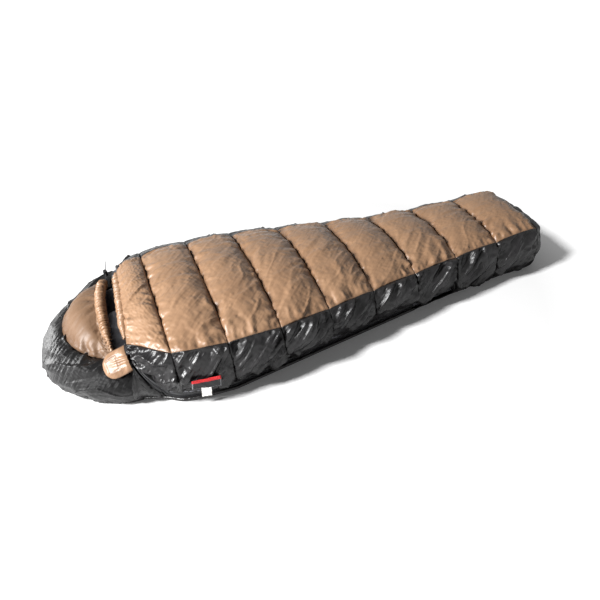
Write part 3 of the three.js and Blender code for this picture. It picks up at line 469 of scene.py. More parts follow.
class Nodes:
    """A short way to write the node tree of a new material, or of an owner such as the world."""

    def __init__(self, name, owner=None, shader="Principled BSDF"):
        self.material = owner or bpy.data.materials.new(name)
        self.material.use_nodes = True
        self.tree = self.material.node_tree
        self.shader = self.tree.nodes[shader]

    def add(self, kind, inputs=None, **settings):
        node = self.tree.nodes.new(kind)
        for key, value in settings.items():
            setattr(node, key, value)
        for key, value in (inputs or {}).items():
            if isinstance(value, bpy.types.NodeSocket):
                self.tree.links.new(value, node.inputs[key])
            else:
                node.inputs[key].default_value = value
        return node

    def set(self, **inputs):
        for key, value in inputs.items():
            socket = self.shader.inputs[key.replace("_", " ")]
            if isinstance(value, bpy.types.NodeSocket):
                self.tree.links.new(value, socket)
            else:
                socket.default_value = value

    def math(self, operation, a, b=0.0):
        return self.add("ShaderNodeMath", {0: a, 1: b}, operation=operation).outputs[0]

    def times(self, a, b):
        return self.math("MULTIPLY", a, b)

    def plus(self, a, b):
        return self.math("ADD", a, b)

    def noise(self, vector, scale, detail=3.0, rough=0.5):
        return self.add("ShaderNodeTexNoise", {
            "Vector": vector, "Scale": scale, "Detail": detail, "Roughness": rough}).outputs["Fac"]

    def scaled(self, vector, factors):
        return self.add("ShaderNodeVectorMath", {0: vector, 1: factors}, operation="MULTIPLY").outputs[0]

    def mix(self, factor, a, b):
        node = self.add("ShaderNodeMix", data_type="RGBA")
        for index, value in ((0, factor), (6, a), (7, b)):
            if isinstance(value, bpy.types.NodeSocket):
                self.tree.links.new(value, node.inputs[index])
            else:
                node.inputs[index].default_value = value
        return node.outputs[2]

    def place(self):
        return self.add("ShaderNodeTexCoord").outputs["Object"]

    def share(self, name):
        return self.add("ShaderNodeAttribute", attribute_name=name).outputs["Fac"]

    def wave(self, scale, direction, distortion=0.0):
        return self.add("ShaderNodeTexWave", {
            "Vector": self.place(), "Scale": scale, "Distortion": distortion},
            wave_type="BANDS", bands_direction=direction).outputs["Fac"]

    def bump(self, height, distance):
        return self.add("ShaderNodeBump", {"Height": height, "Distance": distance}).outputs["Normal"]

    def off_centre(self):
        """How far a point of a label is from its middle: 0.5 at its edges."""
        away = [self.math("ABSOLUTE", self.math("SUBTRACT", self.share(key), 0.5))
                for key in ("height_share", "width_share")]
        return self.math("MAXIMUM", *away)

    def patterned(self, pattern, low, high, depth, **settings):
        """The material with its colour and its bump from one pattern."""
        self.set(Base_Color=self.mix(pattern, low, high), Normal=self.bump(pattern, depth), **settings)
        return self.material

    def spread(self, value, low, high, to_low=0.0, to_high=1.0):
        return self.add("ShaderNodeMapRange", {
            "Value": value, "From Min": low, "From Max": high,
            "To Min": to_low, "To Max": to_high}).outputs[0]


# Bumps a metre across the long creases, along them and through the fabric. They lean to the feet going up.
STREAK_AXES = ((66.0, -54.0, -54.0), (6.0, 7.2, 7.2), (0.0, 5.0, -5.0))


WEAVE = 420.0
PUCKER = 0.004  # height of the bump's puckers beside a seam


def nylon(name, light, dark, roughness, sheen, specular, crinkling, streaks):
    """Down-proof nylon: fine weave, crinkles everywhere, long puckers square to the seams and painted shade
    along them.
    """
    n = Nodes(name)
    place = n.place()
    seam = n.share("seam")
    near_seam = n.spread(seam, 0.0, 0.045, 1.0, 0.0)
    tone = n.noise(place, 5.0, 4.0)
    colour = n.mix(tone, dark, light)
    # Painted shade: within 20 mm of a seam the colour turns to a darker, browner shade, where the chamber
    # falls into the seam's valley.
    painted_seam_shade = n.spread(seam, 0.0, 0.020, 0.40, 0.0)
    colour = n.mix(painted_seam_shade, colour, [c * f for c, f in zip(dark[:3], (0.60, 0.50, 0.42))] + [1])
    # Painted shade: a darker line in the narrow valley right at the seam.
    line = n.spread(seam, 0.0004, 0.0035, 1.0, 0.0)
    colour = n.mix(n.times(line, 0.32), colour, [c * 0.4 for c in dark[:3]] + [1])
    n.set(Base_Color=colour)

    puckers = n.noise(n.scaled(place, (7, 60, 40)), 1.0, 2.0, 0.45)
    crinkle = n.noise(place, 34.0, 3.0, 0.5)
    weave = n.wave(WEAVE, "X", 0.4)
    weft = n.wave(WEAVE, "Y", 0.4)
    height = n.times(n.times(puckers, n.math("POWER", near_seam, 1.3)), PUCKER)
    height = n.plus(height, n.times(crinkle, crinkling))
    slanted = n.add("ShaderNodeCombineXYZ", {
        index: n.add("ShaderNodeVectorMath", {0: place, 1: axis}, operation="DOT_PRODUCT").outputs["Value"]
        for index, axis in enumerate(STREAK_AXES)}).outputs[0]
    height = n.plus(height, n.times(n.noise(slanted, 1.0, 2.0, 0.45), streaks))
    height = n.plus(height, n.times(n.plus(weave, weft), 0.00002))
    bump = n.add("ShaderNodeBump", {"Height": height, "Strength": 0.9, "Distance": 1.0}).outputs["Normal"]
    n.set(Normal=bump, Roughness=n.spread(tone, 0.3, 0.7, roughness - 0.05, roughness + 0.07),
          Sheen_Weight=sheen, Sheen_Roughness=0.4, Specular_IOR_Level=specular)
    return n.material


TAN = nylon(
    "tan_nylon", (0.320, 0.190, 0.108, 1), (0.205, 0.112, 0.058, 1), 0.40, sheen=0.05, specular=0.60,
    crinkling=0.0007, streaks=0.0020)
# Painted shade: the same tan nylon as the top, in darker colours, so that the brow panel looks less brightly
# lit.
SHADED_BROW_TAN = nylon(
    "brow_nylon_painted_shade", (0.175, 0.104, 0.060, 1), (0.125, 0.070, 0.038, 1), 0.48, sheen=0.05, specular=0.36,
    crinkling=0.0007, streaks=0.0020)
CHARCOAL = nylon(
    "charcoal_nylon", (0.0085, 0.0075, 0.0082, 1), (0.005, 0.0044, 0.005, 1), 0.34, sheen=0.0,
    specular=0.46, crinkling=0.0003, streaks=0.0056)
LINING = nylon(
    "lining_nylon", (0.170, 0.172, 0.190, 1), (0.105, 0.106, 0.120, 1), 0.40, sheen=0.05, specular=0.4,
    crinkling=0.0011, streaks=0.0030)


# ---- the outer fabric of the body ----

CELLS = 22
ACROSS = 84
DOWN = 24
FAR_EDGE = 8  # columns of dark fabric between the far seam and the tan


def chamber_rows(first_x):
    """x and share within its chamber for each row, for a column whose front edge is at first_x."""
    xs, shares = [], []
    for k in range(1, CHAMBERS + 1):
        start = first_x if k == 1 else seam_x(k - 1)
        for share in np.linspace(0, 1, CELLS + 1)[(0 if k == 1 else 1):]:
            xs.append(start + (seam_x(k) - start) * share)
            shares.append(share)
    return np.array(xs), np.array(shares)


def body_grid():
    """Far wall, top and zip-side wall as one grid: rows along x, columns from the far ground to the zip."""
    places = [(far_point, s, neck_x(1) - 0.018 * s) for s in np.linspace(1, 0, DOWN + 1)[:-1]]
    places += [(top_point, t, neck_x(t)) for t in np.linspace(1, -1, ACROSS + 1)]
    places += [(near_point, s, neck_x(-1)) for s in np.linspace(0, 1, DOWN + 1)[1:]]
    columns = [[point_at(x, across, share) for x, share in zip(*chamber_rows(first_x))]
               for point_at, across, first_x in places]
    return np.array(columns).transpose(1, 0, 2)


def body_pieces():
    points = body_grid()
    cols = points.shape[1]
    far_col, near_col = DOWN, DOWN + ACROSS
    edge_col = far_col + FAR_EDGE
    seam_rows = [CELLS * k for k in range(CHAMBERS + 1)]
    seam_cols = [0, far_col, edge_col, near_col, cols - 1]
    points = blown(points, seam_rows, seam_cols, False, (0.0, 0.05, 0.05), 5.0, 0.012)

    def patches(first, last, c0, c1):
        made = []
        for k in range(first, last + 1):
            part = refined(points[CELLS * (k - 1):CELLS * k + 1, c0:c1 + 1])
            panel = "edge" if c1 == edge_col else "top" if c0 == edge_col else "wall"
            part = wrinkled(part, 100 * k + c0, **gathers_of(panel, k))
            u = np.linspace(0, 1, part.shape[0])
            step = np.linalg.norm(part[:, 1:] - part[:, :-1], axis=2).mean()
            sides = from_ends(part.shape[1]) * step
            made.append((part, np.minimum((np.minimum(u, 1 - u) * PITCH)[:, None], sides)))
        return made

    for run, (first, last) in RUNS.items():
        top = piece(f"quilt_top_{run}", patches(first, last, edge_col, near_col), False, TAN)
        fitted(top, "tan_nylon", run, f"top_shell_{SEGMENT[run]}")
        edge = piece(f"quilt_edge_{run}", patches(first, last, far_col, edge_col), False, CHARCOAL)
        fitted(edge, "charcoal_nylon", run)
        side = piece(f"zip_side_{run}", patches(first, last, near_col, cols - 1), False, CHARCOAL)
        fitted(side, "charcoal_nylon", run, *([] if run == "foot" else [f"side_shell_{SEGMENT[run]}"]))
    far = piece("far_side", patches(1, CHAMBERS, 0, far_col), False, CHARCOAL)
    fitted(far, "charcoal_nylon", "base", "foot_shell")


def gathers_of(panel, k):
    """How chamber k of the top or of a wall is wrinkled: the folds die away towards the feet."""
    calmer = float(np.interp(k, (1, 4, 6, 9), (1.0, 0.8, 0.45, 0.35)))
    if panel == "edge":
        return {"rows": 0.0030, "cols": 0.0040, "folds": 0.0}
    if panel == "top":
        return {"rows": 0.0085, "cols": 0.0100, "folds": 0.0100 * calmer, "slant": -0.85, "fade": (0.25, 1.3)}
    return {"rows": 0.0080, "cols": 0.0190, "folds": 0.0300 * (0.4 + 0.6 * calmer), "slant": -0.85,
            "fade": (1.2, 0.8), "apart": 0.023, "shear": 0.9, "reach": 0.040}


body_pieces()


# ---- underside, zip-side lip and foot end ----

def floor_point(x, v, _share):
    """The ground panel, from the far side (v = 0) to the zip side (v = 1)."""
    near = zip_foot_y(x) + 0.004 if x < seam_x(6) else centre_y(x) - belly(x) + TURN_IN
    far = centre_y(x) + belly(x) - TURN_IN
    return np.array([x, far + (near - far) * v, GROUND_Z])


def lip_point(x, v, _share):
    """The strip of the underside that turns up to the zip's lower tape."""
    y = float(zip_foot_y(x))
    bulge = 0.008 * math.sin(math.pi * v)
    return np.array([x, y + 0.004 - 0.006 * v - bulge, GROUND_Z + 0.012 * v])


def from_seams(points):
    """Distance from each point to the nearest of the quilt's seams, in metres."""
    seams = [seam_x(k) for k in range(1, CHAMBERS + 1)]
    return np.abs(points[..., :1] - np.array(seams)).min(axis=2)


def underside():
    xs = np.linspace(-0.640, FOOT_EDGE, 180)
    floor = grid(floor_point, xs, np.linspace(0, 1, 60))
    floor[..., 2] += 0.0014 * np.sin(floor[..., 0] * 90) * np.sin(floor[..., 1] * 70)
    lip = grid(lip_point, xs[xs < seam_x(6)], np.linspace(0, 1, 7))
    angles = np.linspace(-math.pi / 2, math.pi / 2 + 0.07, 73)
    head = np.array([
        [hood_at(a, (float(hood_radius(a)) - TURN_IN) * v, GROUND_Z) for v in np.linspace(0, 1, 30)]
        for a in angles])
    patches = [(part, from_seams(part)) for part in (floor, lip)]
    patches.append((head[:, ::-1], 0.05))
    obj = piece("underside", patches, False, CHARCOAL)
    fitted(obj, "charcoal_nylon", "base", "bottom_shell")


def section(x):
    """The outline round the foot at x, from the ground on the far side over the top and back."""
    far = [far_point(x, s, 1)[1:] for s in np.linspace(1, 0, 13)]
    top = [top_point(x, t, 0)[1:] for t in np.linspace(1, -1, 29)][1:]
    near = [near_point(x, s, 1)[1:] for s in np.linspace(0, 1, 13)][1:]
    floor = [floor_point(x, v, 0)[1:] for v in np.linspace(1, 0, 21)][1:]
    return np.array(far + top + near + floor)


RINGS = 29
SEAM_RING = 7  # the ring at which the foot's end is sewn to its rim
END_BULGE = 0.030


def foot_end():
    outline = section(FOOT_EDGE)
    middle = np.array([0.0, 0.092])
    rows = []
    for share in np.linspace(0, 1, RINGS):
        x = FOOT_EDGE + END_BULGE * math.sin(math.pi / 2 * min(share * 1.7, 1.0))
        if share < 0.25:
            size = 1 - share * 0.22
        else:
            size = 0.945 * (1 - (share - 0.25) / 0.75)
        ring = middle + (outline - middle) * size
        rows.append(np.column_stack([np.full(len(ring), x), ring]))
    points = np.array(rows)
    points[..., 2] = np.maximum(points[..., 2], 0.002)
    points = blown(points, [0, SEAM_RING, RINGS - 1], [], True, 0.06, 4.0, 0.012)
    fine = wrinkled(refined(points), 51, 0.008, 0.0, 0.012, 1.35, out=-1.0)
    ring = np.arange(fine.shape[0])
    gap = np.minimum(ring, np.abs(ring - 2 * SEAM_RING)) * 0.006
    obj = piece("foot_end", [(fine, gap[:, None])], True, CHARCOAL)
    fitted(obj, "charcoal_nylon", "base", "foot_end_panel")


underside()
foot_end()


# ---- lining and what lies between it and the outer fabric ----

PILLOW = 0.125  # how high the padding under the head and neck stands
PILLOW_RADIUS = 0.165
QUILTING = 0.030  # between the rings stitched in the padding
RIPPLE = 0.0595  # between the lining's ripples
LINING_Z = 0.036  # height of the lining's floor
BOWL_Z = 0.034  # height of the floor in the hood


def pillow(r):
    """Height of the padding at a distance from where the head lies, with the lining's quilting over it."""
    high = PILLOW * np.maximum(1 - (r / PILLOW_RADIUS) ** 2, 0) ** 1.5
    return high * (1 + 0.05 * np.cos(2 * math.pi * r / QUILTING))


def lining_points(xs):
    """The quilt's lining, from the far side over the sleeper and down the zip side to the zip."""
    rows = []
    for x in xs:
        ts = np.linspace(1, -1, 49)
        inner = (float(seam_half(x)) - WALL) * ts
        high = seam_z(x) + rise(x) * (1 - ts ** 2) - LOFT
        arch = np.column_stack([np.full(49, x), centre_y(x) + inner, high])
        edge = np.array([x, centre_y(x) + seam_half(x) - 0.006, seam_z(x) - 0.006])
        low = max(float(zip_height(x)) + 0.016, LINING_Z)
        zs = np.linspace(arch[-1, 2], low, 17)[1:]
        inset = WALL * np.minimum(1, (zs - low) / 0.03 + 0.05)
        side = np.column_stack([np.full(16, x), near_y(x, zs) + inset, zs])
        rows.append(np.vstack([edge, arch, side]))
    points = np.array(rows)
    points[..., 2] -= np.abs(0.0025 * np.sin(points[..., 0] * 2 * math.pi / RIPPLE))
    return points


def linings():
    for run, (first, last) in RUNS.items():
        start = NECK - 0.016 if first == 1 else seam_x(first - 1)
        xs = np.linspace(start, seam_x(last), 30 * (last - first + 1))
        points = lining_points(xs)
        obj = piece(f"lining_{run}", [(points, from_seams(points))], True, LINING)
        fitted(obj, "lining_nylon", run, f"top_liner_{SEGMENT[run]}")
    xs = np.linspace(-0.637, FOOT_EDGE - 0.004, 150)
    rows = []
    for x in xs:
        near = float(zip_foot_y(x)) if x < seam_x(6) else float(centre_y(x) - belly(x) + TURN_IN)
        floor_y = np.linspace(near + 0.040, centre_y(x) + belly(x) - TURN_IN - 0.034, 40)
        lip = np.array([[x, near + 0.008, 0.0125], [x, near + 0.018, 0.030]])
        floor = np.column_stack([np.full(40, x), floor_y, np.full(40, LINING_Z)])
        ss = np.linspace(1, 0, 20)[1:]
        wall = np.array([far_point(x, s, 0) for s in ss])
        wall[:, 1] -= WALL * np.minimum(1, (wall[-1, 2] - wall[:, 2]) / 0.02)
        wall[:, 2] = np.maximum(wall[:, 2] - 0.006, 0.037)
        rows.append(np.vstack([lip, floor, wall]))
    points = np.array(rows)
    points[..., 2] += 0.002 * np.sin(points[..., 0] * 40) * np.sin(points[..., 1] * 31)
    points[..., 2] += pillow(np.hypot(points[..., 0] - HOOD_X, points[..., 1] - HOOD_Y))
    base = piece("lining_base", [(points, from_seams(points))], True, LINING)
    fitted(base, "lining_nylon", "base", "bottom_liner", "foot_liner")


def fillings():
    """Down and mesh walls, each placed with the run of the quilt that holds it."""
    down = down_material()
    mesh = mesh_material()
    for k in range(1, CHAMBERS + 1):
        for node, material, slot_name in (
                (f"down_fill_{k}", down, "down"), (f"baffle_wall_{k}", mesh, "baffle_mesh")):
            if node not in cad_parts:
                continue
            run = next(name for name, (first, last) in RUNS.items() if first <= k <= last)
            fitted(copy_of(node, f"inner_{node}", material), slot_name, run, node)
    dress(down, "bottom_down", "hood_down")


def dress(material, *nodes):
    """Gives CAD nodes that stay as they are their material."""
    for node in nodes:
        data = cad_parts[node].data
        data.materials.clear()
        data.materials.append(material)


def copy_of(node, name, material):
    """A free copy of a CAD node's mesh, with the given material."""
    obj = bpy.data.objects.new(name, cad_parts[node].data.copy())
    bpy.context.scene.collection.objects.link(obj)
    obj.data.materials.clear()
    obj.data.materials.append(material)
    return obj


def down_material():
    n = Nodes("down")
    fluff = n.noise(n.place(), 120.0, 6.0, 0.7)
    return n.patterned(fluff, (0.70, 0.67, 0.62, 1), (0.92, 0.90, 0.87, 1), 0.006, Roughness=0.95)


def mesh_material():
    n = Nodes("baffle_mesh")
    net = n.add("ShaderNodeTexVoronoi", {"Vector": n.place(), "Scale": 500.0}).outputs["Distance"]
    return n.patterned(net, (0.72, 0.72, 0.72, 1), (0.5, 0.5, 0.5, 1), 0.0005, Roughness=0.9)


linings()
fillings()


# ---- hood ----

def hood_piece():
    angles = np.linspace(-math.pi / 2 - 0.13, math.pi / 2 + 0.07, 113)
    ss = np.linspace(0, 1, 45)
    points = grid(hood_point, angles, ss)
    points = blown(points, [0, -1], [0, -1], True, 0.02, 4.0, 0.010)
    fine = wrinkled(refined(points), 7, 0.003, 0.0095, 0.0150, 0.30, (1.1, 0.8), -1.0, apart=0.046)
    gap = from_ends(fine.shape[0])[:, None] * 0.0045
    side = from_ends(fine.shape[1]) * 0.004
    obj = piece("hood_outer", [(fine, np.minimum(gap, side))], True, CHARCOAL)
    fitted(obj, "charcoal_nylon", "base", "hood_shell")


def gusset_point(x, s, _share):
    """The dark panel between the hood's end (low x) and the zip's climb, from the ground (s = 0) up."""
    top = float(zip_height(x)) - 0.022 - 3.0 * max(ZIP_TOP_X - x, 0)
    foot = np.array([x, centre_y(x) - belly(x) + 0.028, FOOT_Z])
    high = np.array([x, float(near_y(x, top)), max(top, 0.006)])
    bulge = np.array([x, (foot[1] + high[1]) / 2 - 0.42 * (high[2] - foot[2]), (foot[2] + high[2]) / 2])
    return bezier([foot, bulge, high], np.array(s))


def gusset():
    points = grid(gusset_point, np.linspace(-0.668, ZIP_CORNER - 0.012, 24), np.linspace(0, 1, 25))
    points = blown(points, [0, -1], [0, -1], True, 0.03, 3.0, 0.008)
    fine = wrinkled(refined(points), 31, 0.005, 0.005, 0.012, 0.9)
    obj = piece("hood_gusset", [(fine, 0.012)], True, CHARCOAL)
    fitted(obj, "charcoal_nylon", "base")


def hood_inside():
    """The lining's bowl: a floor for the head and the inside of the roll."""
    angles = np.linspace(-math.pi / 2, math.pi / 2, 73)
    rows = []
    for angle in angles:
        rim = float(hood_rim(angle))
        row = [hood_at(angle, r, BOWL_Z + pillow(r)) for r in np.linspace(0.001, PILLOW_RADIUS, 26)]
        for v in np.linspace(0, 1, 16)[1:]:
            r = PILLOW_RADIUS + (HOOD_INNER - 0.009 - PILLOW_RADIUS) * v ** 2
            row.append(hood_at(angle, r, BOWL_Z + (rim - 0.030 - BOWL_Z) * v))
        rows.append(row)
    points = np.array(rows)
    points[..., 2] += 0.002 * np.sin(points[..., 0] * 80) * np.sin(points[..., 1] * 66)
    obj = piece("hood_lining", [(points, 0.03)], False, LINING)
    fitted(obj, "lining_nylon", "base", "hood_liner")


hood_piece()
gusset()
hood_inside()


# ---- brow panel, drawcord channel and neck collar ----

BROW_NEAR = np.array([-0.697, -0.125, 0.142])
BROW_FAR = np.array([-0.664, 0.245, 0.192])
BROW_ARCH = 0.062
BROW_LEAN = -0.014
BROW_ANGLE = 1.30


def brow_edge(share):
    lift = math.sin(math.pi * min(max(share, 0), 1)) ** 0.8
    return BROW_NEAR + (BROW_FAR - BROW_NEAR) * share + np.array([BROW_LEAN * lift, 0, BROW_ARCH * lift])


def brow_point(share, v, _share):
    """The tan half-moon, from the hood's roll (v = 0) to the drawcord channel (v = 1)."""
    angle = -BROW_ANGLE + 2 * BROW_ANGLE * share
    back = hood_at(angle, HOOD_INNER + 0.010, float(hood_rim(angle)) - 0.010)
    front = brow_edge(0.02 + 0.96 * share) + np.array([-0.010, 0, -0.002])
    puff = 0.046 * math.sin(math.pi * v ** 0.60) ** 0.9 * math.sin(math.pi * (0.08 + 0.84 * share))
    return back + (front - back) * v + np.array([0.25 * puff, 0, puff])


def brow():
    points = grid(brow_point, np.linspace(0, 1, 61), np.linspace(0, 1, 27))
    points = blown(points, [0, -1], [0, -1], True, 0.03, 4.0, 0.010)
    fine = wrinkled(refined(points), 61, 0.004, 0.0100, 0.0060, 1.2, out=-1.0)
    side = from_ends(fine.shape[1]) * 0.0028
    panel = piece("brow_top", [(fine, side)], True, SHADED_BROW_TAN)
    under = points.copy()
    under[..., 2] -= 0.012 + 0.018 * np.sin(np.pi * np.linspace(0.02, 0.98, under.shape[1]))[None, :]
    lining = piece("brow_inside", [(under, 0.03)], False, LINING)
    for obj, node, slot_name in ((panel, "brow_panel", "tan_nylon"), (lining, "brow_liner", "lining_nylon")):
        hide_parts(node)
        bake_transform(obj)


PER_GATHER = 6  # rings to a gather
TUBE_SIDES = 28


def gathered_tube(name, path, radius, flat, gathers, depth, node, body):
    """A tube of fabric drawn up on a cord, with gathers round it."""
    steps = gathers * PER_GATHER
    samples = np.array([path(s) for s in np.linspace(0, 1, steps + 1)])
    ahead = np.gradient(samples, axis=0)
    ahead /= np.linalg.norm(ahead, axis=1, keepdims=True)
    wander = rng.normal(0, 1, (gathers + 2, 4))
    rows = []
    for i, (p, d) in enumerate(zip(samples, ahead)):
        across = np.cross(d, (0, 0, 1))
        across /= np.linalg.norm(across)
        up = np.cross(across, d)
        g, part = divmod(i, PER_GATHER)
        blend = part / PER_GATHER
        shift = wander[g] * (1 - blend) + wander[g + 1] * blend
        ring = []
        for a in np.linspace(0, 2 * math.pi, TUBE_SIDES + 1):
            phase = i / PER_GATHER * 2 * math.pi + 1.6 * math.sin(a + shift[0]) + 0.5 * shift[1]
            r = radius + depth * (0.5 * math.sin(phase) + 0.25 * math.sin(1.7 * phase + shift[2]))
            closing = min(1, 4 * min(i, steps - i) / steps + 0.35)
            ring.append(p + across * r * math.cos(a) * closing + up * r * flat * math.sin(a) * closing)
        rows.append(ring)
    points = np.array(rows)
    obj = piece(name, [(points, 0.02)], False, TAN, 0)
    fitted(obj, "tan_nylon", body, node)


def collar_path(share):
    t = -0.86 + 1.76 * share
    x = neck_x(t)
    return np.array([x - 0.004, centre_y(x) + seam_half(x) * t, seam_z(x) + rise(x) * (1 - t * t) - 0.008])


brow()
gathered_tube("brow_channel", brow_edge, 0.0145, 1.10, 40, 0.0075, "cord_channel", "brow_edge")
gathered_tube("neck_roll", collar_path, 0.014, 1.0, 44, 0.0075, "neck_collar", "quilt_front")


# ---- closure tab ----

TAB_TOP = (-0.652, -0.178, 0.188)
TAB_FOOT = (-0.643, -0.249, 0.130)


def closure_tab():
    """A padded tab of fabric with a square of hook tape stitched through it."""
    co = points_of(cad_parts["closure_tab"])
    root_top = np.array(TAB_TOP)
    root = np.array(TAB_FOOT) - root_top
    width = np.linalg.norm(root)
    root /= width
    reach = co[np.argmin(co[:, 0])] - root_top
    reach -= root * (reach @ root)
    reach /= np.linalg.norm(reach)
    out = np.cross(reach, root)
    length = ((co - root_top) @ reach).max()
    rows = []
    for v in np.linspace(0, 1, 33):
        half = width / 2 * (1 if v < 0.5 else math.sqrt(max(1 - ((v - 0.5) / 0.5) ** 2.4, 0.0)))
        row = []
        for u in np.linspace(-1, 1, 33):
            edge = min(1 - abs(u), (1 - v) * 2.2 if half > 0.001 else 0)
            puff = 0.013 * min(1, edge * 2.2) ** 0.6
            square = max(abs(u) / 0.48, abs(v - 0.60) / 0.21)
            puff -= 0.0022 * math.exp(-((square - 1) / 0.10) ** 2)
            fold = 0.0022 * math.sin(11 * u + 6 * v + 2 * math.sin(5 * u)) * (1 - v) ** 1.5
            sag = -0.010 * v * v
            row.append(root_top + root * (width / 2 + half * u) + reach * length * v
                       + out * (0.0005 + puff + fold + sag))
        rows.append(row)
    front = np.array(rows)
    fine = wrinkled(refined(front), 81, 0.004, 0.004, 0.004, 0.5, out=-1.0)
    u = np.abs(np.linspace(-1, 1, fine.shape[1]))
    v = np.linspace(0, 1, fine.shape[0])
    square = np.maximum(u[None, :] / 0.52, np.abs(v[:, None] - 0.58) / 0.20)
    distance = np.minimum(np.abs(square - 1) * 0.02, (1 - u)[None, :] * 0.045 + 0.0012)
    obj = piece("closure_flap_cloth", [(fine, distance)], True, TAN, 0.003)
    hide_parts("closure_tab")
    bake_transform(obj)


closure_tab()


# ---- zip ----

ZIP_LEAN = 0.262
ZIP_END = 0.371
COIL_PITCH = 0.0030


def zip_path(x):
    """Middle of the zip at x, with the directions along it, outwards, and up towards the quilt."""
    def place(xx):
        if xx >= ZIP_CORNER:
            return np.array([xx, float(zip_foot_y(xx)), ZIP_Z])
        z = float(zip_height(xx))
        return np.array([xx, float(near_y(xx, z)), z])

    ahead = place(x + 0.006) - place(max(x - 0.006, ZIP_TOP_X))
    ahead /= np.linalg.norm(ahead)
    out = np.cross(ahead, (0, -math.sin(ZIP_LEAN), math.cos(ZIP_LEAN)))
    out /= np.linalg.norm(out)
    if out[1] > 0:
        out = -out
    up = np.cross(out, ahead)
    if up[2] < 0:
        up = -up
    return place(x), ahead, out, up


def zip_strip(name, start, end, side, node, run):
    """Woven tape with its row of coil teeth."""
    xs = np.arange(start, end, 0.006)
    stations = [zip_path(x) for x in xs]
    tape = np.array([[p + out * 0.0006 + up * side * w for w in np.linspace(0.0035, 0.0125, 5)]
                     for p, _, out, up in stations])
    vertices, faces = [], []
    for x in np.arange(start, end, COIL_PITCH):
        p, ahead, out, up = zip_path(x)
        first = len(vertices)
        for along_part, width in ((-0.0010, 0.0042), (0.0010, 0.0042)):
            for o, w in ((-0.0012, width), (0.0014, width), (0.0016, 0.0004), (-0.0012, 0.0004)):
                vertices.append(p + ahead * along_part + out * o + up * side * w)
        faces += [[first + i for i in face] for face in (
            (0, 1, 2, 3), (7, 6, 5, 4), (0, 4, 5, 1), (1, 5, 6, 2), (2, 6, 7, 3), (3, 7, 4, 0))]
    cloth = piece(f"{name}_tape", [(tape, 0.02)], side > 0, WEBBING, 0.0008)
    teeth = mesh_from(f"{name}_teeth", vertices, faces)
    teeth.data.materials.append(COIL)
    for obj in (cloth, teeth):
        fitted(obj, "zip_cloth", run, node)


def webbing_material(name, colour, scale):
    n = Nodes(name)
    dark = [c * 0.55 for c in colour[:3]] + [1]
    return n.patterned(n.wave(scale, "DIAGONAL", 1.0), dark, colour, 0.0003, Roughness=0.75)


def hard_material(name, colour, roughness, metallic):
    n = Nodes(name)
    wear = n.noise(n.place(), 300.0, 4.0)
    rough = n.spread(wear, 0.3, 0.7, roughness - 0.08, roughness + 0.08)
    worn = [c * 0.7 for c in colour[:3]] + [1]
    return n.patterned(wear, worn, colour, 0.0001, Roughness=rough, Metallic=metallic)


WEBBING = webbing_material("webbing", (0.03, 0.03, 0.032, 1), 300.0)
COIL = hard_material("coil", (0.02, 0.02, 0.022, 1), 0.4, 0.0)
METAL = hard_material("dark_metal", (0.12, 0.12, 0.125, 1), 0.32, 1.0)
PLASTIC = hard_material("black_plastic", (0.015, 0.015, 0.016, 1), 0.42, 0.0)


def zips():
    zip_strip("zip_lower", ZIP_TOP_X + 0.004, ZIP_END, -1, "zip_tape_bottom", "base")
    for run, start, end, node in (
            ("front", ZIP_TOP_X + 0.004, seam_x(2), "zip_tape_front"),
            ("bend_front", seam_x(2), seam_x(3), "zip_tape_middle"),
            ("bend_middle", seam_x(3), seam_x(4), "zip_tape_middle"),
            ("bend_rear", seam_x(4), ZIP_END, "zip_tape_rear")):
        zip_strip(f"zip_upper_{run}", start, end, 1, node, run)


zips()


# ---- labels ----

RED_BAND = 0.70  # share of the label's height at which the red band starts


def label_material():
    """A woven label: black, with a red band along its top and a plain woven border."""
    n = Nodes("label")
    high = n.share("height_share")
    thread = n.wave(260.0, "X")
    border = n.times(n.math("GREATER_THAN", n.off_centre(), 0.46), n.math("LESS_THAN", high, RED_BAND))
    colour = n.mix(border, (0.004, 0.004, 0.005, 1), (0.16, 0.16, 0.17, 1))
    colour = n.mix(n.math("GREATER_THAN", high, RED_BAND), colour, (0.55, 0.008, 0.012, 1))
    n.set(Base_Color=n.mix(n.times(thread, 0.12), colour, (0.03, 0.03, 0.03, 1)), Roughness=0.8,
          Normal=n.bump(thread, 0.0003))
    return n.material


def tag_material():
    """A plain off-white woven tag with a grey stitched edge."""
    n = Nodes("tag")
    border = n.math("GREATER_THAN", n.off_centre(), 0.44)
    n.set(Base_Color=n.mix(border, (0.80, 0.79, 0.76, 1), (0.45, 0.44, 0.42, 1)), Roughness=0.7,
          Normal=n.bump(n.noise(n.place(), 900.0, 2.0), 0.0002))
    return n.material


LABEL_HEIGHT = 0.088
LABEL_TILT = 0.03


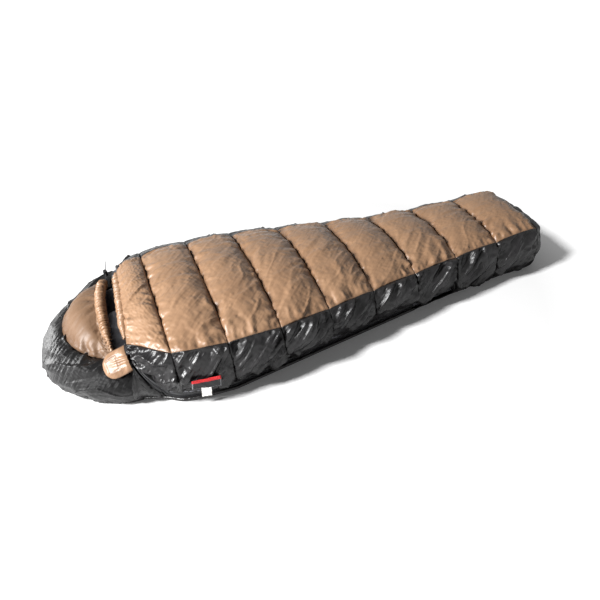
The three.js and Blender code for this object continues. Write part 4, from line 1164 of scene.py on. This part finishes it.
def cloth_patch(name, node, material, body, lift, hangs):
    """A small label over the fabric of the zip side, slightly curled, in the CAD node's place."""
    co = points_of(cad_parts[node])
    middle = (co.min(axis=0) + co.max(axis=0)) / 2
    half_w = (co[:, 0].max() - co[:, 0].min()) / 2 + 0.002
    half_h = (co[:, 2].max() - co[:, 2].min()) / 2 + 0.002
    cloth = points_of(bpy.data.objects["zip_side_front"])
    around = cloth[(np.abs(cloth[:, 0] - middle[0]) < 0.055) & (np.abs(cloth[:, 2] - LABEL_HEIGHT) < 0.052)]

    def terms(x, z):
        x, z = (x - middle[0]) / 0.05, (z - LABEL_HEIGHT) / 0.05
        return np.stack([np.ones_like(x), x, z, x * x, x * z, z * z], axis=-1)

    fit = np.linalg.lstsq(terms(around[:, 0], around[:, 2]), around[:, 1], rcond=None)[0]
    us, vs = np.linspace(-1, 1, 25), np.linspace(-1, 1, 17)
    x = middle[0] + half_w * us[:, None] + 0.002 * vs[None, :]
    z = middle[2] + half_h * vs[None, :] + LABEL_TILT * half_w * us[:, None]
    proud = (terms(around[:, 0], around[:, 2]) @ fit - around[:, 1]).max()
    lowest = middle[2] + half_h if hangs else 0.0
    y = terms(x, np.maximum(z, lowest)) @ fit - proud - lift
    y = y - 0.0012 * np.sin(4 * us[:, None] + 2 * vs[None, :]) ** 2
    points = np.stack([x, y, z], axis=-1)
    obj = piece(name, [(points, 0.02)], True, material, 0.0010)
    width_share, height_share = np.meshgrid((us + 1) / 2, (vs + 1) / 2, indexing="ij")
    for key, values in (("width_share", width_share), ("height_share", height_share)):
        attribute = obj.data.attributes.new(key, "FLOAT", "POINT")
        attribute.data.foreach_set("value", values.ravel().astype(np.float32))
    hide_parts(node)
    if hangs:
        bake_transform(obj)
    else:
        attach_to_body(obj, body)


cloth_patch("label", "woven_label", label_material(), "quilt_front", 0.002, False)
cloth_patch("tag", "side_tag", tag_material(), "label_tag", 0.0005, True)


# ---- CAD nodes that stay as they are ----


def lock_spring():
    """The cord lock's spring, which the button presses together."""
    obj = copy_of("cord_lock_spring", "lock_spring", METAL)
    fitted(obj, "dark_metal", "cord_lock", "cord_lock_spring")
    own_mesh(obj)


lock_spring()
dress(METAL, "upper_slider", "upper_pull", "lower_slider", "lower_pull", "zip_end_stop")
dress(PLASTIC, "cord_lock_barrel", "cord_lock_button")
dress(WEBBING, "hood_drawcord", "hook_patch", "hang_loop_near", "hang_loop_far")

# ---- studio ----


def area_light(name, place, size, power, target=(0, 0, 0.1)):
    data = bpy.data.lights.new(name, "AREA")
    data.size = size
    data.energy = power
    obj = bpy.data.objects.new(name, data)
    obj.location = place
    obj.rotation_euler = (Vector(target) - Vector(place)).to_track_quat("-Z", "Y").to_euler()
    bpy.context.scene.collection.objects.link(obj)
    return obj


def linked(light, state, objects):
    """Lets the light fall only on these objects, or on all the others."""
    group = bpy.data.collections.new(light.name)
    for obj in objects:
        group.objects.link(obj)
    for item in group.collection_objects:
        item.light_linking.link_state = state
    light.light_linking.receiver_collection = group


MIRRORED = 0.50  # how bright the white surroundings are in reflections
SKY_LIGHT = 0.09
FLOOR_GLOW = 0.06
FAR_GLOW = 1.0
GLOW_SPAN = (0.9, 2.2)  # distances from the bag's middle between which the floor's glow rises
KEY_PLACE = (-4.5, -1.2, 2.5)


def seen_only(n, strength):
    """A glow that only the camera and reflections see: white surroundings that don't fill shadows."""
    path = n.add("ShaderNodeLightPath")
    glossy = n.times(path.outputs["Is Glossy Ray"], MIRRORED)
    seen = n.math("MAXIMUM", path.outputs["Is Camera Ray"], glossy)
    return n.times(seen, strength)


def studio():
    floor = mesh_from("floor", [(-30, -30, 0), (30, -30, 0), (30, 30, 0), (-30, 30, 0)], [[0, 1, 2, 3]])
    n = Nodes("floor")
    away = n.add("ShaderNodeVectorMath", {0: n.place()}, operation="LENGTH").outputs["Value"]
    glow = n.spread(away, *GLOW_SPAN, FLOOR_GLOW, FAR_GLOW)
    n.set(Base_Color=(0.90, 0.90, 0.90, 1), Roughness=0.9, Emission_Color=(1, 1, 1, 1),
          Emission_Strength=seen_only(n, glow), Specular_IOR_Level=0.0)
    floor.data.materials.append(n.material)
    world = bpy.data.worlds.new("studio")
    bpy.context.scene.world = world
    n = Nodes("studio", world, "Background")
    path = n.add("ShaderNodeLightPath")
    seen = n.plus(n.times(path.outputs["Is Glossy Ray"], MIRRORED), path.outputs["Is Camera Ray"])
    n.set(Strength=n.spread(seen, 0.0, 1.0, SKY_LIGHT, 1.1), Color=(1, 1, 1, 1))
    hood = [bpy.data.objects[name] for name in ("hood_outer", "hood_gusset")]
    linked(area_light("key", KEY_PLACE, 2.0, 780), "EXCLUDE", [floor] + hood)
    linked(area_light("hood_key", KEY_PLACE, 2.0, 90), "INCLUDE", hood)
    linked(area_light("hood_rear", (-4.4, 3.4, 1.1), 3.0, 210), "INCLUDE", hood)
    linked(area_light("ground", (-3.9, -0.45, 4.9), 1.1, 600), "INCLUDE", [floor])
    linings = [bpy.data.objects[name] for name in ("lining_base", "hood_lining", "lining_front")]
    linked(area_light("inside", (-1.0, -1.2, 4.2), 1.5, 70), "INCLUDE", linings)
    bpy.context.scene.view_settings.view_transform = "Standard"


CAMERA_PLACE = (-0.5613, -2.0574, 1.4901)
CAMERA_TURN = (0.26955, 0.59702, -0.12830)  # yaw, pitch and roll
LENS = 40.71


def camera():
    place = Vector(CAMERA_PLACE)
    yaw, pitch, roll = CAMERA_TURN
    ahead = Vector((math.sin(yaw) * math.cos(pitch), math.cos(yaw) * math.cos(pitch), -math.sin(pitch)))
    right = Vector((math.cos(yaw), -math.sin(yaw), 0))
    up = right.cross(ahead)
    turned_right = right * math.cos(roll) + up * math.sin(roll)
    turned_up = up * math.cos(roll) - right * math.sin(roll)
    data = bpy.data.cameras.new("camera")
    data.lens = LENS
    data.sensor_width = 36
    obj = bpy.data.objects.new("camera", data)
    axes = Matrix((turned_right, turned_up, -ahead)).transposed()
    obj.matrix_world = Matrix.Translation(place) @ axes.to_4x4()
    bpy.context.scene.collection.objects.link(obj)
    bpy.context.scene.camera = obj


studio()
camera()
